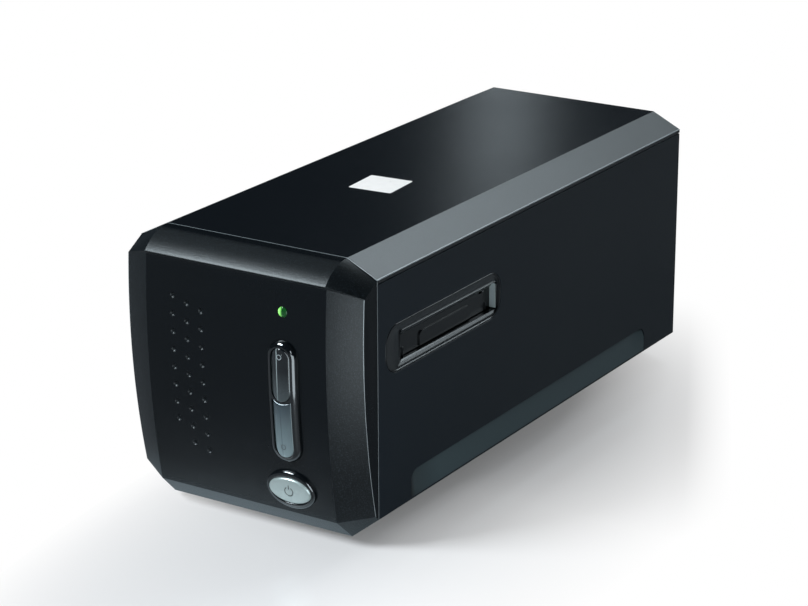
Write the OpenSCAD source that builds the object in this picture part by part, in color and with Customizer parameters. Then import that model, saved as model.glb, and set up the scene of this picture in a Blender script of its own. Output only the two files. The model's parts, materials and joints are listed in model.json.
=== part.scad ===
// Desktop film negative scanner: a bevelled box with a film slot through both sides.
// The front faces -Y, +X is the right side, +Z is up. Millimetres.
// The origin is the middle of the footprint, on the surface that the feet stand on.

/* [Body] */
// Width across the side panels
body_w = 113; // [108:0.5:124]
// Depth from the front face to the rear edge
body_d = 272; // [266:1:300]
// Height from the table to the top
body_h = 118.5; // [116:0.5:130]
// Height of the rubber feet
foot_h = 2.5; // [1.5:0.1:5]
// Wall of the mouldings
wall = 2.2; // [1.8:0.1:2.6]
// Width of the bevel along the top edges
top_bevel_x = 13.7; // [10:0.1:16]
// Height of the bevel along the top edges
top_bevel_z = 6.7; // [5:0.1:9]
// Width of the bevel along the bottom edges
low_bevel_x = 12.5; // [10:0.1:14]
// Height of the bevel along the bottom edges
low_bevel_z = 10; // [8:0.1:11]
// Height of the straight lip under the top bevel
cover_lip = 1.6; // [1:0.1:3]
// Width of the groove between two casing pieces
seam_groove = 0.4; // [0.2:0.1:0.8]

/* [Front bezel] */
// How far the front face stands out of the casing
bezel_d = 15.9; // [14:0.1:18]
// Half width of the front face
face_half_w = 43; // [40:0.5:46]
// Radius of the front face, seen from the side
face_r = 387; // [300:1:500]
// Height of the point of the face that stands out most
face_mid_z = 80.3; // [70:0.5:90]
// How far the side facets fall back at the corner of the casing
side_back = 5.9; // [4:0.1:7]
// Radius of the side facets' outer edge, seen from the side
side_r = 320; // [250:1:450]
// Radius of the roll from the face to the top
roll_r = 20; // [18:0.5:24]
// Diameter of the dimples in the face
dimple_dia = 2.6; // [1.5:0.1:3.5]
// Depth of a dimple
dimple_depth = 0.7; // [0.3:0.1:1]
// Distance between dimples in a column
dimple_pitch = 7.5; // [6:0.1:8]
// Distance between the columns of dimples
dimple_column = 6.9; // [5:0.1:8]

/* [Buttons] */
// Distance of the controls from the middle of the face
control_x = 23.1; // [20:0.1:25]
// Width of the raised pod around the scan buttons
pod_w = 13.8; // [13:0.1:16]
// Length of the pod
pod_len = 51.4; // [50:0.1:56]
// How far the pod stands out of the face
pod_h = 2.4; // [1.5:0.1:3.5]
// Width of the scan buttons
scan_button_w = 8.7; // [7.5:0.1:9]
// How far the scan buttons stand out of the pod
button_rise = 0.5; // [0:0.1:1]
// Travel of the buttons
button_travel = 1.2; // [0.6:0.1:1.5]
// Gap between a button and its housing
button_gap = 0.2; // [0.15:0.05:0.3]
// Width of the ring around the power button
ring_w = 23; // [22:0.1:26]
// Height of the ring around the power button
ring_tall = 16.7; // [15.5:0.1:19]
// Width of the power button
power_w = 20.2; // [18:0.1:20.5]
// Height of the power button
power_tall = 11.2; // [10:0.1:13]
// Diameter of the status light
light_dia = 4.2; // [3:0.1:5]

/* [Film slot] */
// Length of the slot frame
slot_len = 88; // [86:0.1:92]
// Height of the slot frame
slot_h = 20; // [19:0.1:22]
// Width of the film opening
film_w = 72; // [68:0.5:73]
// Height of the film opening
film_h = 12.2; // [11.5:0.1:13]
// Depth of the dish around the film opening
dish_depth = 1.8; // [0.8:0.1:2.2]
// Thickness of a dust flap
flap_t = 2; // [1.6:0.1:2.4]
// Diameter of a flap's pin
flap_pin_dia = 1.6; // [1.2:0.1:2]

/* [Scanning mechanism] */
// Diameter of the guide rod
rod_dia = 8; // [6:0.5:9]
// Travel of the scan carriage
travel = 38; // [30:1:38]
// Tooth module of the drive gears
gear_module = 0.8; // [0.7:0.05:0.8]
// Teeth on the drive gear
gear_teeth = 58; // [50:1:58]
// Teeth on the motor pinion
pinion_teeth = 14; // [14:1:16]
// Pitch diameter of the belt pulleys
pulley_dia = 14; // [12:0.5:15]
// Width of the drive belt
belt_w = 4; // [3:0.5:4.5]
// Diameter of the stepper motor
motor_dia = 35; // [30:0.5:36]

/* [Hidden] */

e = 0.01;                     // overshoot of a cut
fit = 0.03;                   // radial clearance of a running fit
touch_gap = 0.1;              // clearance between fixed pieces that slip into each other
$fn = 64;

// casing
rear_y = (body_d + pod_h + button_rise) / 2;
face_y = rear_y - body_d;
seam_y = face_y + bezel_d;
half_w = body_w / 2;
low_z = foot_h;
side_low_z = low_z + low_bevel_z;
side_top_z = body_h - top_bevel_z;
cover_z = side_top_z - cover_lip;
roof_z = body_h - wall;
floor_z = low_z + wall;
lip_t = wall / 2;
panel_t = 2.5;
panel_y = rear_y - panel_t - 1.7;

// front face: an arc about an axis across the body
face_back = face_r - bezel_d;
function face_dy(z) = sqrt(face_r * face_r - pow(z - face_mid_z, 2)) - face_back;
function face_tilt(z) = asin((face_mid_z - z) / face_r);
function side_dy(z) = sqrt(side_r * side_r - pow(z - face_mid_z - 3.5, 2)) - side_r + bezel_d - side_back;
roll_drop = 8.6;
roll_dy = sqrt(roll_r * roll_r - pow(roll_r - roll_drop, 2));
face_low_z = low_z + 9;
wedge_z = side_top_z - 5.4;
face_steps = 20;
roll_steps = 8;

// controls
power_z = low_z + 19.8;
light_z = body_h - 21;
dimple_x = -30;
dimple_z = light_z - 2.7;
pod_room = light_z - light_dia / 2 - power_z - ring_tall / 2 - pod_len;
pod_z = power_z + ring_tall / 2 + 0.296 * pod_room + pod_len / 2;
upper_z = pod_z + 12;
upper_len = 22.2;
lower_low_z = pod_z - 23;
lower_top_z = pod_z;
lower_cup_r = 9;
board_y = seam_y + 1.3;
board_t = 1.6;
switch_t = 3.4;
button_r = scan_button_w / 2;
button_crown = 9;
button_back = face_y + 6;
catch_t = 1.2;
stem_y = board_y - switch_t - button_travel - touch_gap;

// film slot
slot_y = seam_y + 49.45;
slot_z = body_h - 38.2;
film_y = slot_y + 5.1;
film_z = slot_z - 1;
slot_r = 8.5;
frame_in = 6.6;
flange_t = 1.5;
flange_edge = 2.8;
frame_x = half_w - frame_in;
flap_face = 3.6;
flap_x = half_w - flap_face - flap_t / 2;
flap_gap = 0.35;
flap_pin_z = film_z + film_h / 2 - 1.5;
flap_pin_r = flap_pin_dia / 2;
knuckle_r = flap_pin_r + 0.55;
pin_grip = 1.5;
spring_wire = 0.4;
spring_turns = 3;

// inside
chassis_t = 2;
chassis_w = body_w - 29;
chassis_x = chassis_w / 2;
plate_z = floor_z + chassis_t;
front_wall_y = seam_y + 12.65;
rear_wall_y = rear_y - 24.45;
upright_t = 3;
rod_x = -chassis_x - 1;
rod_z = 30;
rod_r = rod_dia / 2;
ear_top_z = rod_z + 12;
rail_x = chassis_x - 2;
rail_z = 26;
guide_low_z = film_z - film_h / 2 - 1.8;
rail_gap_y = film_w / 2 + 1;
gear_y = rear_wall_y - 27;
tub_w = 56;
tub_x = tub_w / 2;
tub_low_z = 22;
tub_top_z = guide_low_z - 11.4;
tub_front_y = front_wall_y + travel + 6;
tub_rear_y = gear_y - 20;
tub_t = 2;
lamp_y = film_y + 17.1;
lens_y = lamp_y + 63;
post_y = film_y + rail_gap_y + 3 + travel + 2.5;
axis_z = 42;
arm_z = roof_z - 15.3;
gear_z = plate_z + 2.3;
gear_t = 4;
idler_y = front_wall_y + 13;
belt_z = gear_z + gear_t + 2;
belt_t = 0.8;
pulley_r = pulley_dia / 2;
axle_r = 2;
gear_pitch_r = gear_module * gear_teeth / 2;
pinion_pitch_r = gear_module * pinion_teeth / 2;
motor_r = motor_dia / 2;
motor_x = half_w - 10.2 - motor_r;
gear_x = motor_x - gear_pitch_r - pinion_pitch_r;
motor_h = 20;
shaft_r = 1;
shaft_in = 8;
bracket_z = gear_z + gear_t + 1.2;
bracket_t = 2;
pressure_angle = 25;
tooth_play = 0.09;
screw_r = 1.5;
head_r = 2.7;
screw_post_r = 4.2;
front_post = [half_w - 16.5, seam_y + 8.15];
rear_post = [half_w - 16.5, rear_y - 8.95];
post_joint_z = roof_z - 16.3;
head_seat_z = post_joint_z - 16;
thread_in = 8;
rear_screw_x = [5.5 - rear_post[0], rear_post[0] - 5.5];
rear_screw_z = [26, post_joint_z - 8];
main_board_y = rear_wall_y + upright_t + 5;
main_board_z = [20, 92];
foot_x = half_w - 22.5;
foot_r = 7;

case_black = [0.06, 0.07, 0.08];
gloss_black = [0.03, 0.03, 0.035];
silver = [0.72, 0.76, 0.78];
steel = [0.7, 0.71, 0.73];
board_green = [0.08, 0.32, 0.18];

// ---- helpers ----

module mirrored() {
    children();
    mirror([1, 0, 0]) children();
}

// Corners of the casing's section on the right, from the bottom to the top, taken in by d
function section_corner(d, i) =
    let (
        top = sqrt(top_bevel_x * top_bevel_x + top_bevel_z * top_bevel_z),
        low = sqrt(low_bevel_x * low_bevel_x + low_bevel_z * low_bevel_z)
    )
    [
        [half_w - low_bevel_x - d * (low - low_bevel_x) / low_bevel_z, low_z + d],
        [half_w - d, side_low_z + d * (low - low_bevel_z) / low_bevel_x],
        [half_w - d, side_top_z - d * (top - top_bevel_z) / top_bevel_x],
        [half_w - top_bevel_x - d * (top - top_bevel_x) / top_bevel_z, body_h - d]
    ][i];

// Section of the casing, across X and Z, taken in by d on every side
module casing_section(d = 0) {
    right = [for (i = [0:3]) section_corner(d, i)];
    left = [for (i = [3:-1:0]) [-right[i][0], right[i][1]]];
    polygon(concat(right, left));
}

// Prism of a section across X and Z, from y0 to y1
module along_y(y0, y1) {
    translate([0, y1, 0]) rotate([90, 0, 0]) linear_extrude(y1 - y0) children();
}

module casing_tube(y0, y1) {
    difference() {
        along_y(y0, y1) casing_section();
        along_y(y0 - e, y1 + e) casing_section(wall);
    }
}

// Prism of a section across Y and Z, from x0 to x1
module along_x(x0, x1) {
    translate([x0, 0, 0]) rotate([90, 0, 90]) linear_extrude(x1 - x0) children();
}

module block(x0, x1, y0, y1, z0, z1) {
    translate([x0, y0, z0]) cube([x1 - x0, y1 - y0, z1 - z0]);
}

module rounded_rect(w, h, r) {
    square([w - 2 * r, h], center = true);
    square([w, h - 2 * r], center = true);
    for (i = [-1, 1], j = [-1, 1]) translate([i * (w / 2 - r), j * (h / 2 - r)]) circle(r);
}

module stadium(w, h) {
    rounded_rect(w, h, min(w, h) / 2 - 0.001);
}

module rod_y(x, z, r, y0, y1) {
    translate([x, y1, z]) rotate([90, 0, 0]) cylinder(r = r, h = y1 - y0);
}

// Local frame on the front face at height z: +Z points straight out of the face
module on_face(x, z) {
    translate([x, seam_y - face_dy(z), z]) rotate([90 + face_tilt(z), 0, 0]) children();
}

// An ellipse of full size w by h, as points at height z
function oval_ring(w, h, z) = [for (i = [0:47]) [w / 2 * cos(i * 7.5), h / 2 * sin(i * 7.5), z]];
module ellipse(w, h) {
    polygon([for (p = oval_ring(w, h, 0)) [p[0], p[1]]]);
}

// A convex skin over rings of points, each with as many points as the first
module loft(rings) {
    n = len(rings[0]);
    last = (len(rings) - 1) * n;
    sides = [for (k = [0:n:last - 1], i = [0:n - 1]) [k + i, k + n + i, k + n + (i + 1) % n, k + (i + 1) % n]];
    caps = [[for (i = [0:n - 1]) i], [for (i = [n - 1:-1:0]) last + i]];
    hull() polyhedron([for (r = rings) each r], concat(caps, sides));
}

// A screw: its head sits under the origin, its shank goes up +Z
module screw(len, r = screw_r) {
    difference() {
        translate([0, 0, -r]) cylinder(r = head_r * r / screw_r, h = r);
        for (a = [0, 90]) rotate(a) translate([-1.2 * r, -0.2 * r, -r - e]) cube([2.4 * r, 0.4 * r, 0.5 * r]);
    }
    translate([0, 0, -e]) cylinder(r = r, h = len + e);
}

// ---- casing ----

// Two edges run up the right half of the bezel, taken in by d: one along the front
// face and over the roll, one along the side panel. Both have a point at each step.
function bezel_edge(d) =
    let (x = face_half_w - 0.6 * d, top = body_h - d, r = roll_r - d, z0 = face_low_z + d)
    concat(
        [for (i = [0:face_steps]) let (z = z0 + (top - roll_drop - z0) * i / face_steps)
            [x, seam_y - face_dy(z) + d, z]],
        [for (i = [1:roll_steps - 1]) let (q = roll_dy * (1 - i / roll_steps) * r / roll_r)
            [x, seam_y - q, top - r + sqrt(r * r - q * q)]],
        [[section_corner(d, 3)[0], seam_y, section_corner(d, 3)[1]]]
    );
function side_edge(d) =
    let (low = section_corner(d, 1), high = section_corner(d, 2), z0 = low[1] + 2, z1 = wedge_z - 0.4 * d)
    concat(
        [for (i = [0:face_steps]) let (z = z0 + (z1 - z0) * i / face_steps)
            [low[0], seam_y - side_dy(z) + d, z]],
        [for (i = [1:roll_steps]) let (t = i / roll_steps)
            [low[0], seam_y - (side_dy(z1) - d) * (1 - t), z1 + (high[1] - z1) * t]]
    );
function flipped(points) = [for (p = points) [-p[0], p[1], p[2]]];

// The bezel's solid form: strips across the face, facets between the two edges
module bezel_form(d) {
    face = bezel_edge(d);
    side = side_edge(d);
    n = len(face);
    low = [for (k = [0, 1]) [section_corner(d, k)[0], seam_y, section_corner(d, k)[1]]];
    points = concat(face, side, flipped(face), flipped(side), low, flipped(low));
    fr = 0;
    sr = n;
    fl = 2 * n;
    sl = 3 * n;
    lr = 4 * n;
    ll = 4 * n + 2;
    strips = [for (i = [0:n - 2]) each [
        [fl + i, fl + i + 1, fr + i + 1, fr + i],
        [fr + i, fr + i + 1, sr + i + 1], [fr + i, sr + i + 1, sr + i],
        [sl + i + 1, fl + i + 1, fl + i], [sl + i, sl + i + 1, fl + i]
    ]];
    low_facets = [
        [ll, fl, fr, lr],
        [lr, fr, sr], [lr, sr, lr + 1],
        [sl, fl, ll], [ll + 1, sl, ll]
    ];
    right_plane = concat([for (i = [0:n - 1]) sr + i], [lr + 1]);
    left_plane = concat([ll + 1], [for (i = [n - 1:-1:0]) sl + i]);
    back = [lr, lr + 1, sr + n - 1, fr + n - 1, fl + n - 1, sl + n - 1, ll + 1, ll];
    polyhedron(points, concat(strips, low_facets, [right_plane, left_plane, back]));
}

module dimples() {
    ball_r = (pow(dimple_dia / 2, 2) + pow(dimple_depth, 2)) / (2 * dimple_depth);
    for (c = [0:2], i = [0:(c == 0 ? 7 : 8)])
        on_face(dimple_x + c * dimple_column, dimple_z - c * 2.1 - i * dimple_pitch)
            translate([0, 0, ball_r - dimple_depth]) sphere(ball_r, $fn = 32);
}

module front_bezel() {
    color(case_black) {
        difference() {
            bezel_form(0);
            bezel_form(wall);
            along_y(seam_y - e, seam_y + 1) casing_section(wall);
            // openings for the pod, the power ring and the status light
            along_y(face_y - 1, seam_y) translate([control_x, pod_z])
                stadium(pod_w + 2 * touch_gap, pod_len + 2 * touch_gap);
            on_face(control_x, power_z) translate([0, 0, -8]) linear_extrude(12)
                ellipse(power_w + 1.6 + 2 * touch_gap, power_tall + 1.6 + 2 * touch_gap);
            on_face(control_x, light_z) translate([0, 0, -8]) cylinder(r = light_dia / 2 + touch_gap, h = 12);
            dimples();
        }
        // posts that carry the button board
        for (x = board_post_x, z = board_post_z) difference() {
            rod_y(x, z, 2.6, seam_y - face_dy(z) + wall / 2, board_y);
            rod_y(x, z, 1.1, board_y - 6, board_y + 1);
        }
        // tongues that slip into the casing
        for (s = [-1, 1]) {
            translate([s * 26 - 6, seam_y - 1.5, roof_z - touch_gap - 1.5]) cube([12, 7, 1.5]);
            translate([s * 26 - 6, seam_y - 1.5, roof_z - 1]) cube([12, 1.2, 1.6]);
            translate([s * 26 - 6, seam_y - 1.5, floor_z + touch_gap]) cube([12, 7, 1.5]);
        }
    }
}

board_post_x = [control_x - 14.1, control_x + 14.1];
board_post_z = [power_z + 10.2, light_z - 6.5];

module top_cover() {
    color(case_black) {
        intersection() {
            casing_tube(seam_y, rear_y);
            block(-half_w - 1, half_w + 1, seam_y, rear_y, cover_z, body_h + 1);
        }
        // bosses that the long screws hold
        for (p = casing_posts) difference() {
            translate([p[0], p[1], post_joint_z]) cylinder(r = screw_post_r, h = roof_z - post_joint_z + e);
            translate([p[0], p[1], post_joint_z - e]) cylinder(r = screw_r, h = thread_in + 4);
        }
        // ribs across the roof
        for (y = [-20, 30, 80]) block(12.5 - half_w, half_w - 12.5, y, y + 1.5, roof_z - 4, roof_z + e);
    }
}

casing_posts = [
    [front_post[0], front_post[1]], [-front_post[0], front_post[1]],
    [rear_post[0], rear_post[1]], [-rear_post[0], rear_post[1]]
];

grip_y0 = seam_y + 23.65;
grip_y1 = rear_y - 30.45;
grip_low_z = side_low_z + 0.8;
grip_top_z = side_low_z + 12.1;
grip_depth = 2.6;
grip_r = 5;

// Outline of the finger grip, across Y and Z
module grip_outline() {
    translate([(grip_y0 + grip_y1) / 2, grip_low_z])
        rounded_rect(grip_y1 - grip_y0, 2 * (grip_top_z - grip_low_z), grip_r);
}

// The grip slopes in from its lower edge to its upper one
module grip_cut() {
    intersection() {
        along_x(half_w - grip_depth - 1, half_w + 1) grip_outline();
        along_y(grip_y0 - 1, grip_y1 + 1) polygon([
            [half_w, grip_low_z], [half_w + 2, grip_low_z], [half_w + 2, grip_top_z + 1],
            [half_w - grip_depth, grip_top_z + 1]
        ]);
    }
}

module right_panel() {
    difference() {
        union() {
            block(half_w - wall, half_w, seam_y, rear_y, side_low_z, cover_z - seam_groove);
            block(half_w - wall, half_w - wall + lip_t, seam_y, rear_y, cover_z - 2, cover_z);
            block(half_w - wall - grip_depth, half_w - wall + e, grip_y0 - 3, grip_y1 + 3,
                side_low_z + 3, grip_top_z + 3);
            // foot of the panel, screwed to the tray
            block(half_w - wall - 4, half_w - wall + e, seam_y + 10, rear_y - 12, side_low_z + 1, side_low_z + 3);
        }
        grip_cut();
        translate([0, slot_y, slot_z]) along_x(half_w - wall - 1, half_w + 1)
            rounded_rect(slot_len + 2 * touch_gap, slot_h + 2 * touch_gap, slot_r + touch_gap);
    }
}

module right_side_panel() {
    color(case_black) right_panel();
}

module left_side_panel() {
    color(case_black) mirror([1, 0, 0]) right_panel();
}

module base_tray() {
    color(case_black) {
        difference() {
            union() {
                intersection() {
                    casing_tube(seam_y, rear_y);
                    block(-half_w - 1, half_w + 1, seam_y, rear_y, low_z - 1, side_low_z);
                }
                for (p = casing_posts)
                    translate([p[0], p[1], floor_z - e]) cylinder(r = screw_post_r, h = post_joint_z - floor_z + e);
                // bosses for the screws of the rear panel
                for (x = rear_screw_x, z = rear_screw_z) rod_y(x, z, 3.2, rear_post[1] - 2, panel_y);
            }
            for (p = casing_posts) {
                translate([p[0], p[1], low_z - 1]) cylinder(r = screw_r, h = post_joint_z);
                translate([p[0], p[1], low_z - 1]) cylinder(r = head_r + 0.15, h = head_seat_z - low_z + 1);
            }
            for (x = rear_screw_x, z = rear_screw_z) rod_y(x, z, screw_r, panel_y - 5, panel_y + 1);
            // vents
            for (x = [-22:6:20], y = [-50, 30]) translate([x, y, low_z - 1]) cube([2.4, 30, wall + 2]);
        }
    }
}

usb_x = -18;
jack_x = 14;
socket_z = 46;

module rear_panel() {
    color(case_black) difference() {
        along_y(panel_y, panel_y + panel_t) casing_section(wall);
        along_y(rear_y - 5, rear_y + 1) {
            translate([usb_x, socket_z]) square([12.6, 11.6], center = true);
            translate([jack_x, socket_z]) circle(4.6);
            // slot for a security lock
            translate([36, socket_z]) rounded_rect(7, 3, 1);
        }
        for (i = [-4:4]) along_y(rear_y - 5, rear_y + 1) translate([i * 6, 84]) stadium(2.4, 20);
        for (x = rear_screw_x, z = rear_screw_z) rod_y(x, z, screw_r + 0.2, rear_y - 5, rear_y + 1);
    }
}

module rubber_feet() {
    color([0.05, 0.05, 0.05]) for (x = [-foot_x, foot_x], y = [seam_y + 22.65, rear_y - 23.45]) translate([x, y, 0]) {
        cylinder(r1 = foot_r - 0.6, r2 = foot_r, h = 0.8);
        translate([0, 0, 0.8]) cylinder(r = foot_r, h = foot_h - 0.8);
    }
}

// ---- film slot ----

module right_frame() {
    difference() {
        union() {
            translate([0, slot_y, slot_z]) along_x(frame_x, half_w) rounded_rect(slot_len, slot_h, slot_r);
            translate([0, slot_y, slot_z]) along_x(half_w - wall - flange_t, half_w - wall)
                rounded_rect(slot_len + 2 * flange_edge, slot_h + 2 * flange_edge, slot_r + flange_edge);
        }
        // film opening
        translate([0, film_y, film_z]) along_x(frame_x - 1, half_w + 1) rounded_rect(film_w, film_h, 1.2);
        // dish that leads the holder in
        hull() {
            translate([0, slot_y, slot_z]) along_x(half_w, half_w + e)
                rounded_rect(slot_len - 1.2, slot_h - 1.2, slot_r - 0.6, $fn = 32);
            translate([0, film_y, film_z]) along_x(half_w - dish_depth, half_w)
                rounded_rect(film_w, film_h, 1.2, $fn = 32);
        }
        // seats of the flap's pin
        rod_y(flap_x, flap_pin_z, flap_pin_r, film_y - film_w / 2 - pin_grip, film_y + film_w / 2 + pin_grip);
        // room for the knuckle
        translate([flap_x, film_y + film_w / 2, flap_pin_z]) rotate([90, 0, 0])
            cylinder(r = knuckle_r + flap_gap, h = film_w);
    }
}

module right_slot_frame() {
    color(gloss_black) right_frame();
}

module left_slot_frame() {
    color(gloss_black) mirror([1, 0, 0]) right_frame();
}

spring_y = film_y + film_w / 2 - 9;
spring_len = spring_wire * (spring_turns + 2) + 0.6;

module right_flap() {
    low = film_z - film_h / 2 + flap_gap;
    w = film_w - 2 * flap_gap;
    difference() {
        union() {
            block(flap_x - flap_t / 2, flap_x + flap_t / 2, film_y - w / 2, film_y + w / 2, low, flap_pin_z);
            rod_y(flap_x, flap_pin_z, knuckle_r, film_y - w / 2, film_y + w / 2);
            // raised panel on the outer face
            intersection() {
                translate([0, film_y, low + 0.8]) along_x(flap_x, flap_x + flap_t / 2 + 0.6)
                    rounded_rect(39, 11, 2.2);
                block(flap_x, half_w, film_y - 20, film_y + 20, low + 0.3, low + 8);
            }
            // nibs that ride on the film holder
            for (s = [-1, 1]) translate([flap_x + flap_t / 2 - 0.6, film_y + s * (film_w / 2 - 4.2), low])
                cylinder(r = 1.1, h = 3.4);
        }
        rod_y(flap_x, flap_pin_z, flap_pin_r + fit, film_y - w, film_y + w);
        // notch for the spring
        block(flap_x - 3, flap_x + 3, spring_y, spring_y + spring_len,
            flap_pin_z - knuckle_r - 1, flap_pin_z + knuckle_r + 1);
    }
}

module right_dust_flap() {
    color(gloss_black) right_flap();
}

module left_dust_flap() {
    color(gloss_black) mirror([1, 0, 0]) right_flap();
}

module right_pin() {
    rod_y(flap_x, flap_pin_z, flap_pin_r, film_y - film_w / 2 - pin_grip, film_y + film_w / 2 + pin_grip);
}

module right_flap_pin() {
    color(steel) right_pin();
}

module left_flap_pin() {
    color(steel) mirror([1, 0, 0]) right_pin();
}

// Tube of n sides along a list of points
function ring_at(p, t, r, n) =
    let (u = abs(t[2]) > 0.9 ? [1, 0, 0] : [0, 0, 1], a = cross(t, u) / norm(cross(t, u)), b = cross(t, a))
    [for (i = [0:n - 1]) p + r * (a * cos(360 * i / n) + b * sin(360 * i / n))];
module tube(path, r, n = 8) {
    last = len(path) - 1;
    dirs = [for (i = [0:last]) let (d = path[min(i + 1, last)] - path[max(i - 1, 0)]) d / norm(d)];
    points = [for (i = [0:last]) each ring_at(path[i], dirs[i], r, n)];
    sides = [for (i = [0:last - 1], j = [0:n - 1]) let (k = (j + 1) % n)
        [i * n + j, i * n + k, (i + 1) * n + k, (i + 1) * n + j]];
    polyhedron(points, concat([[for (j = [n - 1:-1:0]) j]], sides, [[for (j = [0:n - 1]) last * n + j]]));
}

// A torsion spring about the pin: one leg lies on the flap, the other under the frame
module right_spring() {
    r = flap_t / 2 + spring_wire / 2 + 0.02;
    steps = 14;
    turns = spring_turns + 0.75;
    coil = [for (i = [0:turns * steps]) let (a = 180 - 360 * i / steps)
        [flap_x + r * cos(a), spring_y + 0.5 + spring_wire * 1.04 * i / steps, flap_pin_z + r * sin(a)]];
    first = [flap_x - r, spring_y + 0.5, flap_pin_z - 6];
    last = coil[len(coil) - 1] + [1.6, 0, 0];
    tube(concat([first], coil, [last]), spring_wire / 2);
}

module right_flap_spring() {
    color(steel) right_spring();
}

module left_flap_spring() {
    color(steel) mirror([1, 0, 0]) right_spring();
}

// ---- front controls ----

// Turns a section across X about the axis of the front face, between two heights
module sweep_face(z0, z1) {
    a0 = asin((z0 - face_mid_z) / face_r);
    a1 = asin((z1 - face_mid_z) / face_r);
    translate([0, seam_y + face_back, face_mid_z]) rotate([90, 0, -90]) rotate([0, 0, a0])
        rotate_extrude(angle = a1 - a0, $fn = 720) translate([face_r, 0]) mirror([1, -1]) children();
}

module upper_outline(grow = 0) {
    translate([0, upper_z]) stadium(scan_button_w + 2 * grow, upper_len + 2 * grow);
}

module lower_outline(grow = 0) {
    r = button_r + grow;
    low = lower_low_z + button_r;
    difference() {
        union() {
            translate([-r, low]) square([2 * r, lower_top_z + 1 + grow - low]);
            translate([0, low]) circle(r);
        }
        translate([0, lower_top_z + lower_cup_r]) circle(lower_cup_r - grow);
    }
}

// Outline of the pod, taken in by d, as points across X and Z: round ends, straight sides
function pod_outline(d) =
    let (r = pod_w / 2 - d, h = (pod_len - pod_w) / 2)
    concat(
        [for (i = [0:8]) [r * cos(22.5 * i), h + r * sin(22.5 * i)]],
        [for (i = [1:5]) [-r, h - h * i / 3]],
        [for (i = [0:8]) [-r * cos(22.5 * i), -h - r * sin(22.5 * i)]],
        [for (i = [1:5]) [r, h * i / 3 - h]]
    );
// The outline laid on the front face and lifted off it
function pod_ring(d, rise) = [for (p = pod_outline(d)) [p[0], seam_y - face_dy(pod_z + p[1]) - rise, pod_z + p[1]]];

// The pod: rings of points climb its rounded flank to the curved front
module pod_form() {
    back = [for (p = pod_outline(0)) [p[0], button_back, pod_z + p[1]]];
    flank = [for (a = [0:22.5:90]) pod_ring(pod_h * (1 - cos(a)), pod_h * sin(a))];
    loft(concat([back], flank));
}

module scan_button_pod() {
    color(gloss_black) translate([control_x, 0, 0]) difference() {
        pod_form();
        along_y(face_y - 5, seam_y) upper_outline(button_gap);
        along_y(face_y - 5, seam_y) lower_outline(button_gap);
    }
}

// The crowned front of the scan buttons, swept along the face
module button_crown_form() {
    sweep_face(lower_low_z - 2, upper_z + upper_len) intersection() {
        translate([0, pod_h + button_rise - button_crown]) circle(button_crown, $fn = 96);
        translate([-8, -7]) square([16, 20]);
    }
}

module scan_button(stem_z) {
    translate([control_x, 0, 0]) {
        intersection() {
            along_y(face_y - 5, button_back + touch_gap) children();
            button_crown_form();
        }
        // catch behind the pod, and the stem to the switch
        along_y(button_back + touch_gap - e, button_back + touch_gap + catch_t)
            translate([0, stem_z]) square([scan_button_w + 1.8, 6], center = true);
        along_y(button_back + catch_t, stem_y) translate([0, stem_z]) square([3, 3], center = true);
    }
}

module upper_scan_button() {
    color(gloss_black) scan_button(upper_z) upper_outline();
}

module lower_scan_button() {
    color(silver) scan_button(lower_low_z + 11) lower_outline();
}

// A low dome over an ellipse, its edge rounded by r
module oval_dome(w, h, top, r) {
    rim = [for (a = [0:18:90]) oval_ring(w - 2 * r * (1 - cos(a)), h - 2 * r * (1 - cos(a)), top - r + r * sin(a))];
    loft(concat([oval_ring(w, h, 0)], rim));
}

ring_h = 1.6;
ring_in = 4;
power_h = 2.4;
power_stem = (stem_y - seam_y + face_dy(power_z)) / cos(face_tilt(power_z)) - 0.3;

module power_button_ring() {
    color(gloss_black) on_face(control_x, power_z) difference() {
        union() {
            translate([0, 0, 0.12]) oval_dome(ring_w, ring_tall, ring_h, 1.2);
            translate([0, 0, -ring_in]) linear_extrude(ring_in + 0.2) ellipse(power_w + 1.6, power_tall + 1.6);
        }
        translate([0, 0, -ring_in - 1]) linear_extrude(ring_in + 6)
            ellipse(power_w + 2 * button_gap, power_tall + 2 * button_gap);
    }
}

module power_button() {
    color(silver) on_face(control_x, power_z) {
        translate([0, 0, -ring_in - touch_gap]) oval_dome(power_w, power_tall, power_h + ring_in + touch_gap, 0.7);
        // catch behind the ring, and the stem to the switch
        translate([0, 0, -ring_in - touch_gap - catch_t]) {
            cylinder(r = power_tall / 2 + 0.9, h = catch_t);
            cylinder(r = 4, h = catch_t + 1);
        }
        translate([0, 0, -power_stem]) cylinder(r = 1.6, h = power_stem - ring_in - touch_gap);
    }
}

module status_light_lens() {
    color([0.2, 0.8, 0.25]) on_face(control_x, light_z) {
        translate([0, 0, -5]) cylinder(r = light_dia / 2, h = 5.3);
        translate([0, 0, -14]) cylinder(r = 1.4, h = 9 + e);
        intersection() {
            translate([0, 0, 0.6 - 4]) sphere(4);
            translate([0, 0, 0.2]) cylinder(r = light_dia / 2, h = 2);
        }
        translate([0, 0, -5]) cylinder(r = light_dia / 2 + 0.9, h = 5 - wall - touch_gap);
    }
}

module status_led() {
    color([0.6, 0.9, 0.6]) {
        block(control_x - 1.6, control_x + 1.6, board_y - 1.2, board_y, light_z - 1, light_z + 1);
        rod_y(control_x, light_z, 0.9, board_y - 2, board_y - 1.1);
    }
}

module button_board() {
    color(board_green) difference() {
        block(control_x - 18.1, control_x + 18.4, board_y, board_y + board_t, power_z - 8.3, light_z + 5.5);
        for (x = board_post_x, z = board_post_z) rod_y(x, z, 1.3, board_y - 1, board_y + board_t + 1);
    }
}

switch_zs = [power_z + 1, lower_low_z + 11, upper_z];

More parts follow.
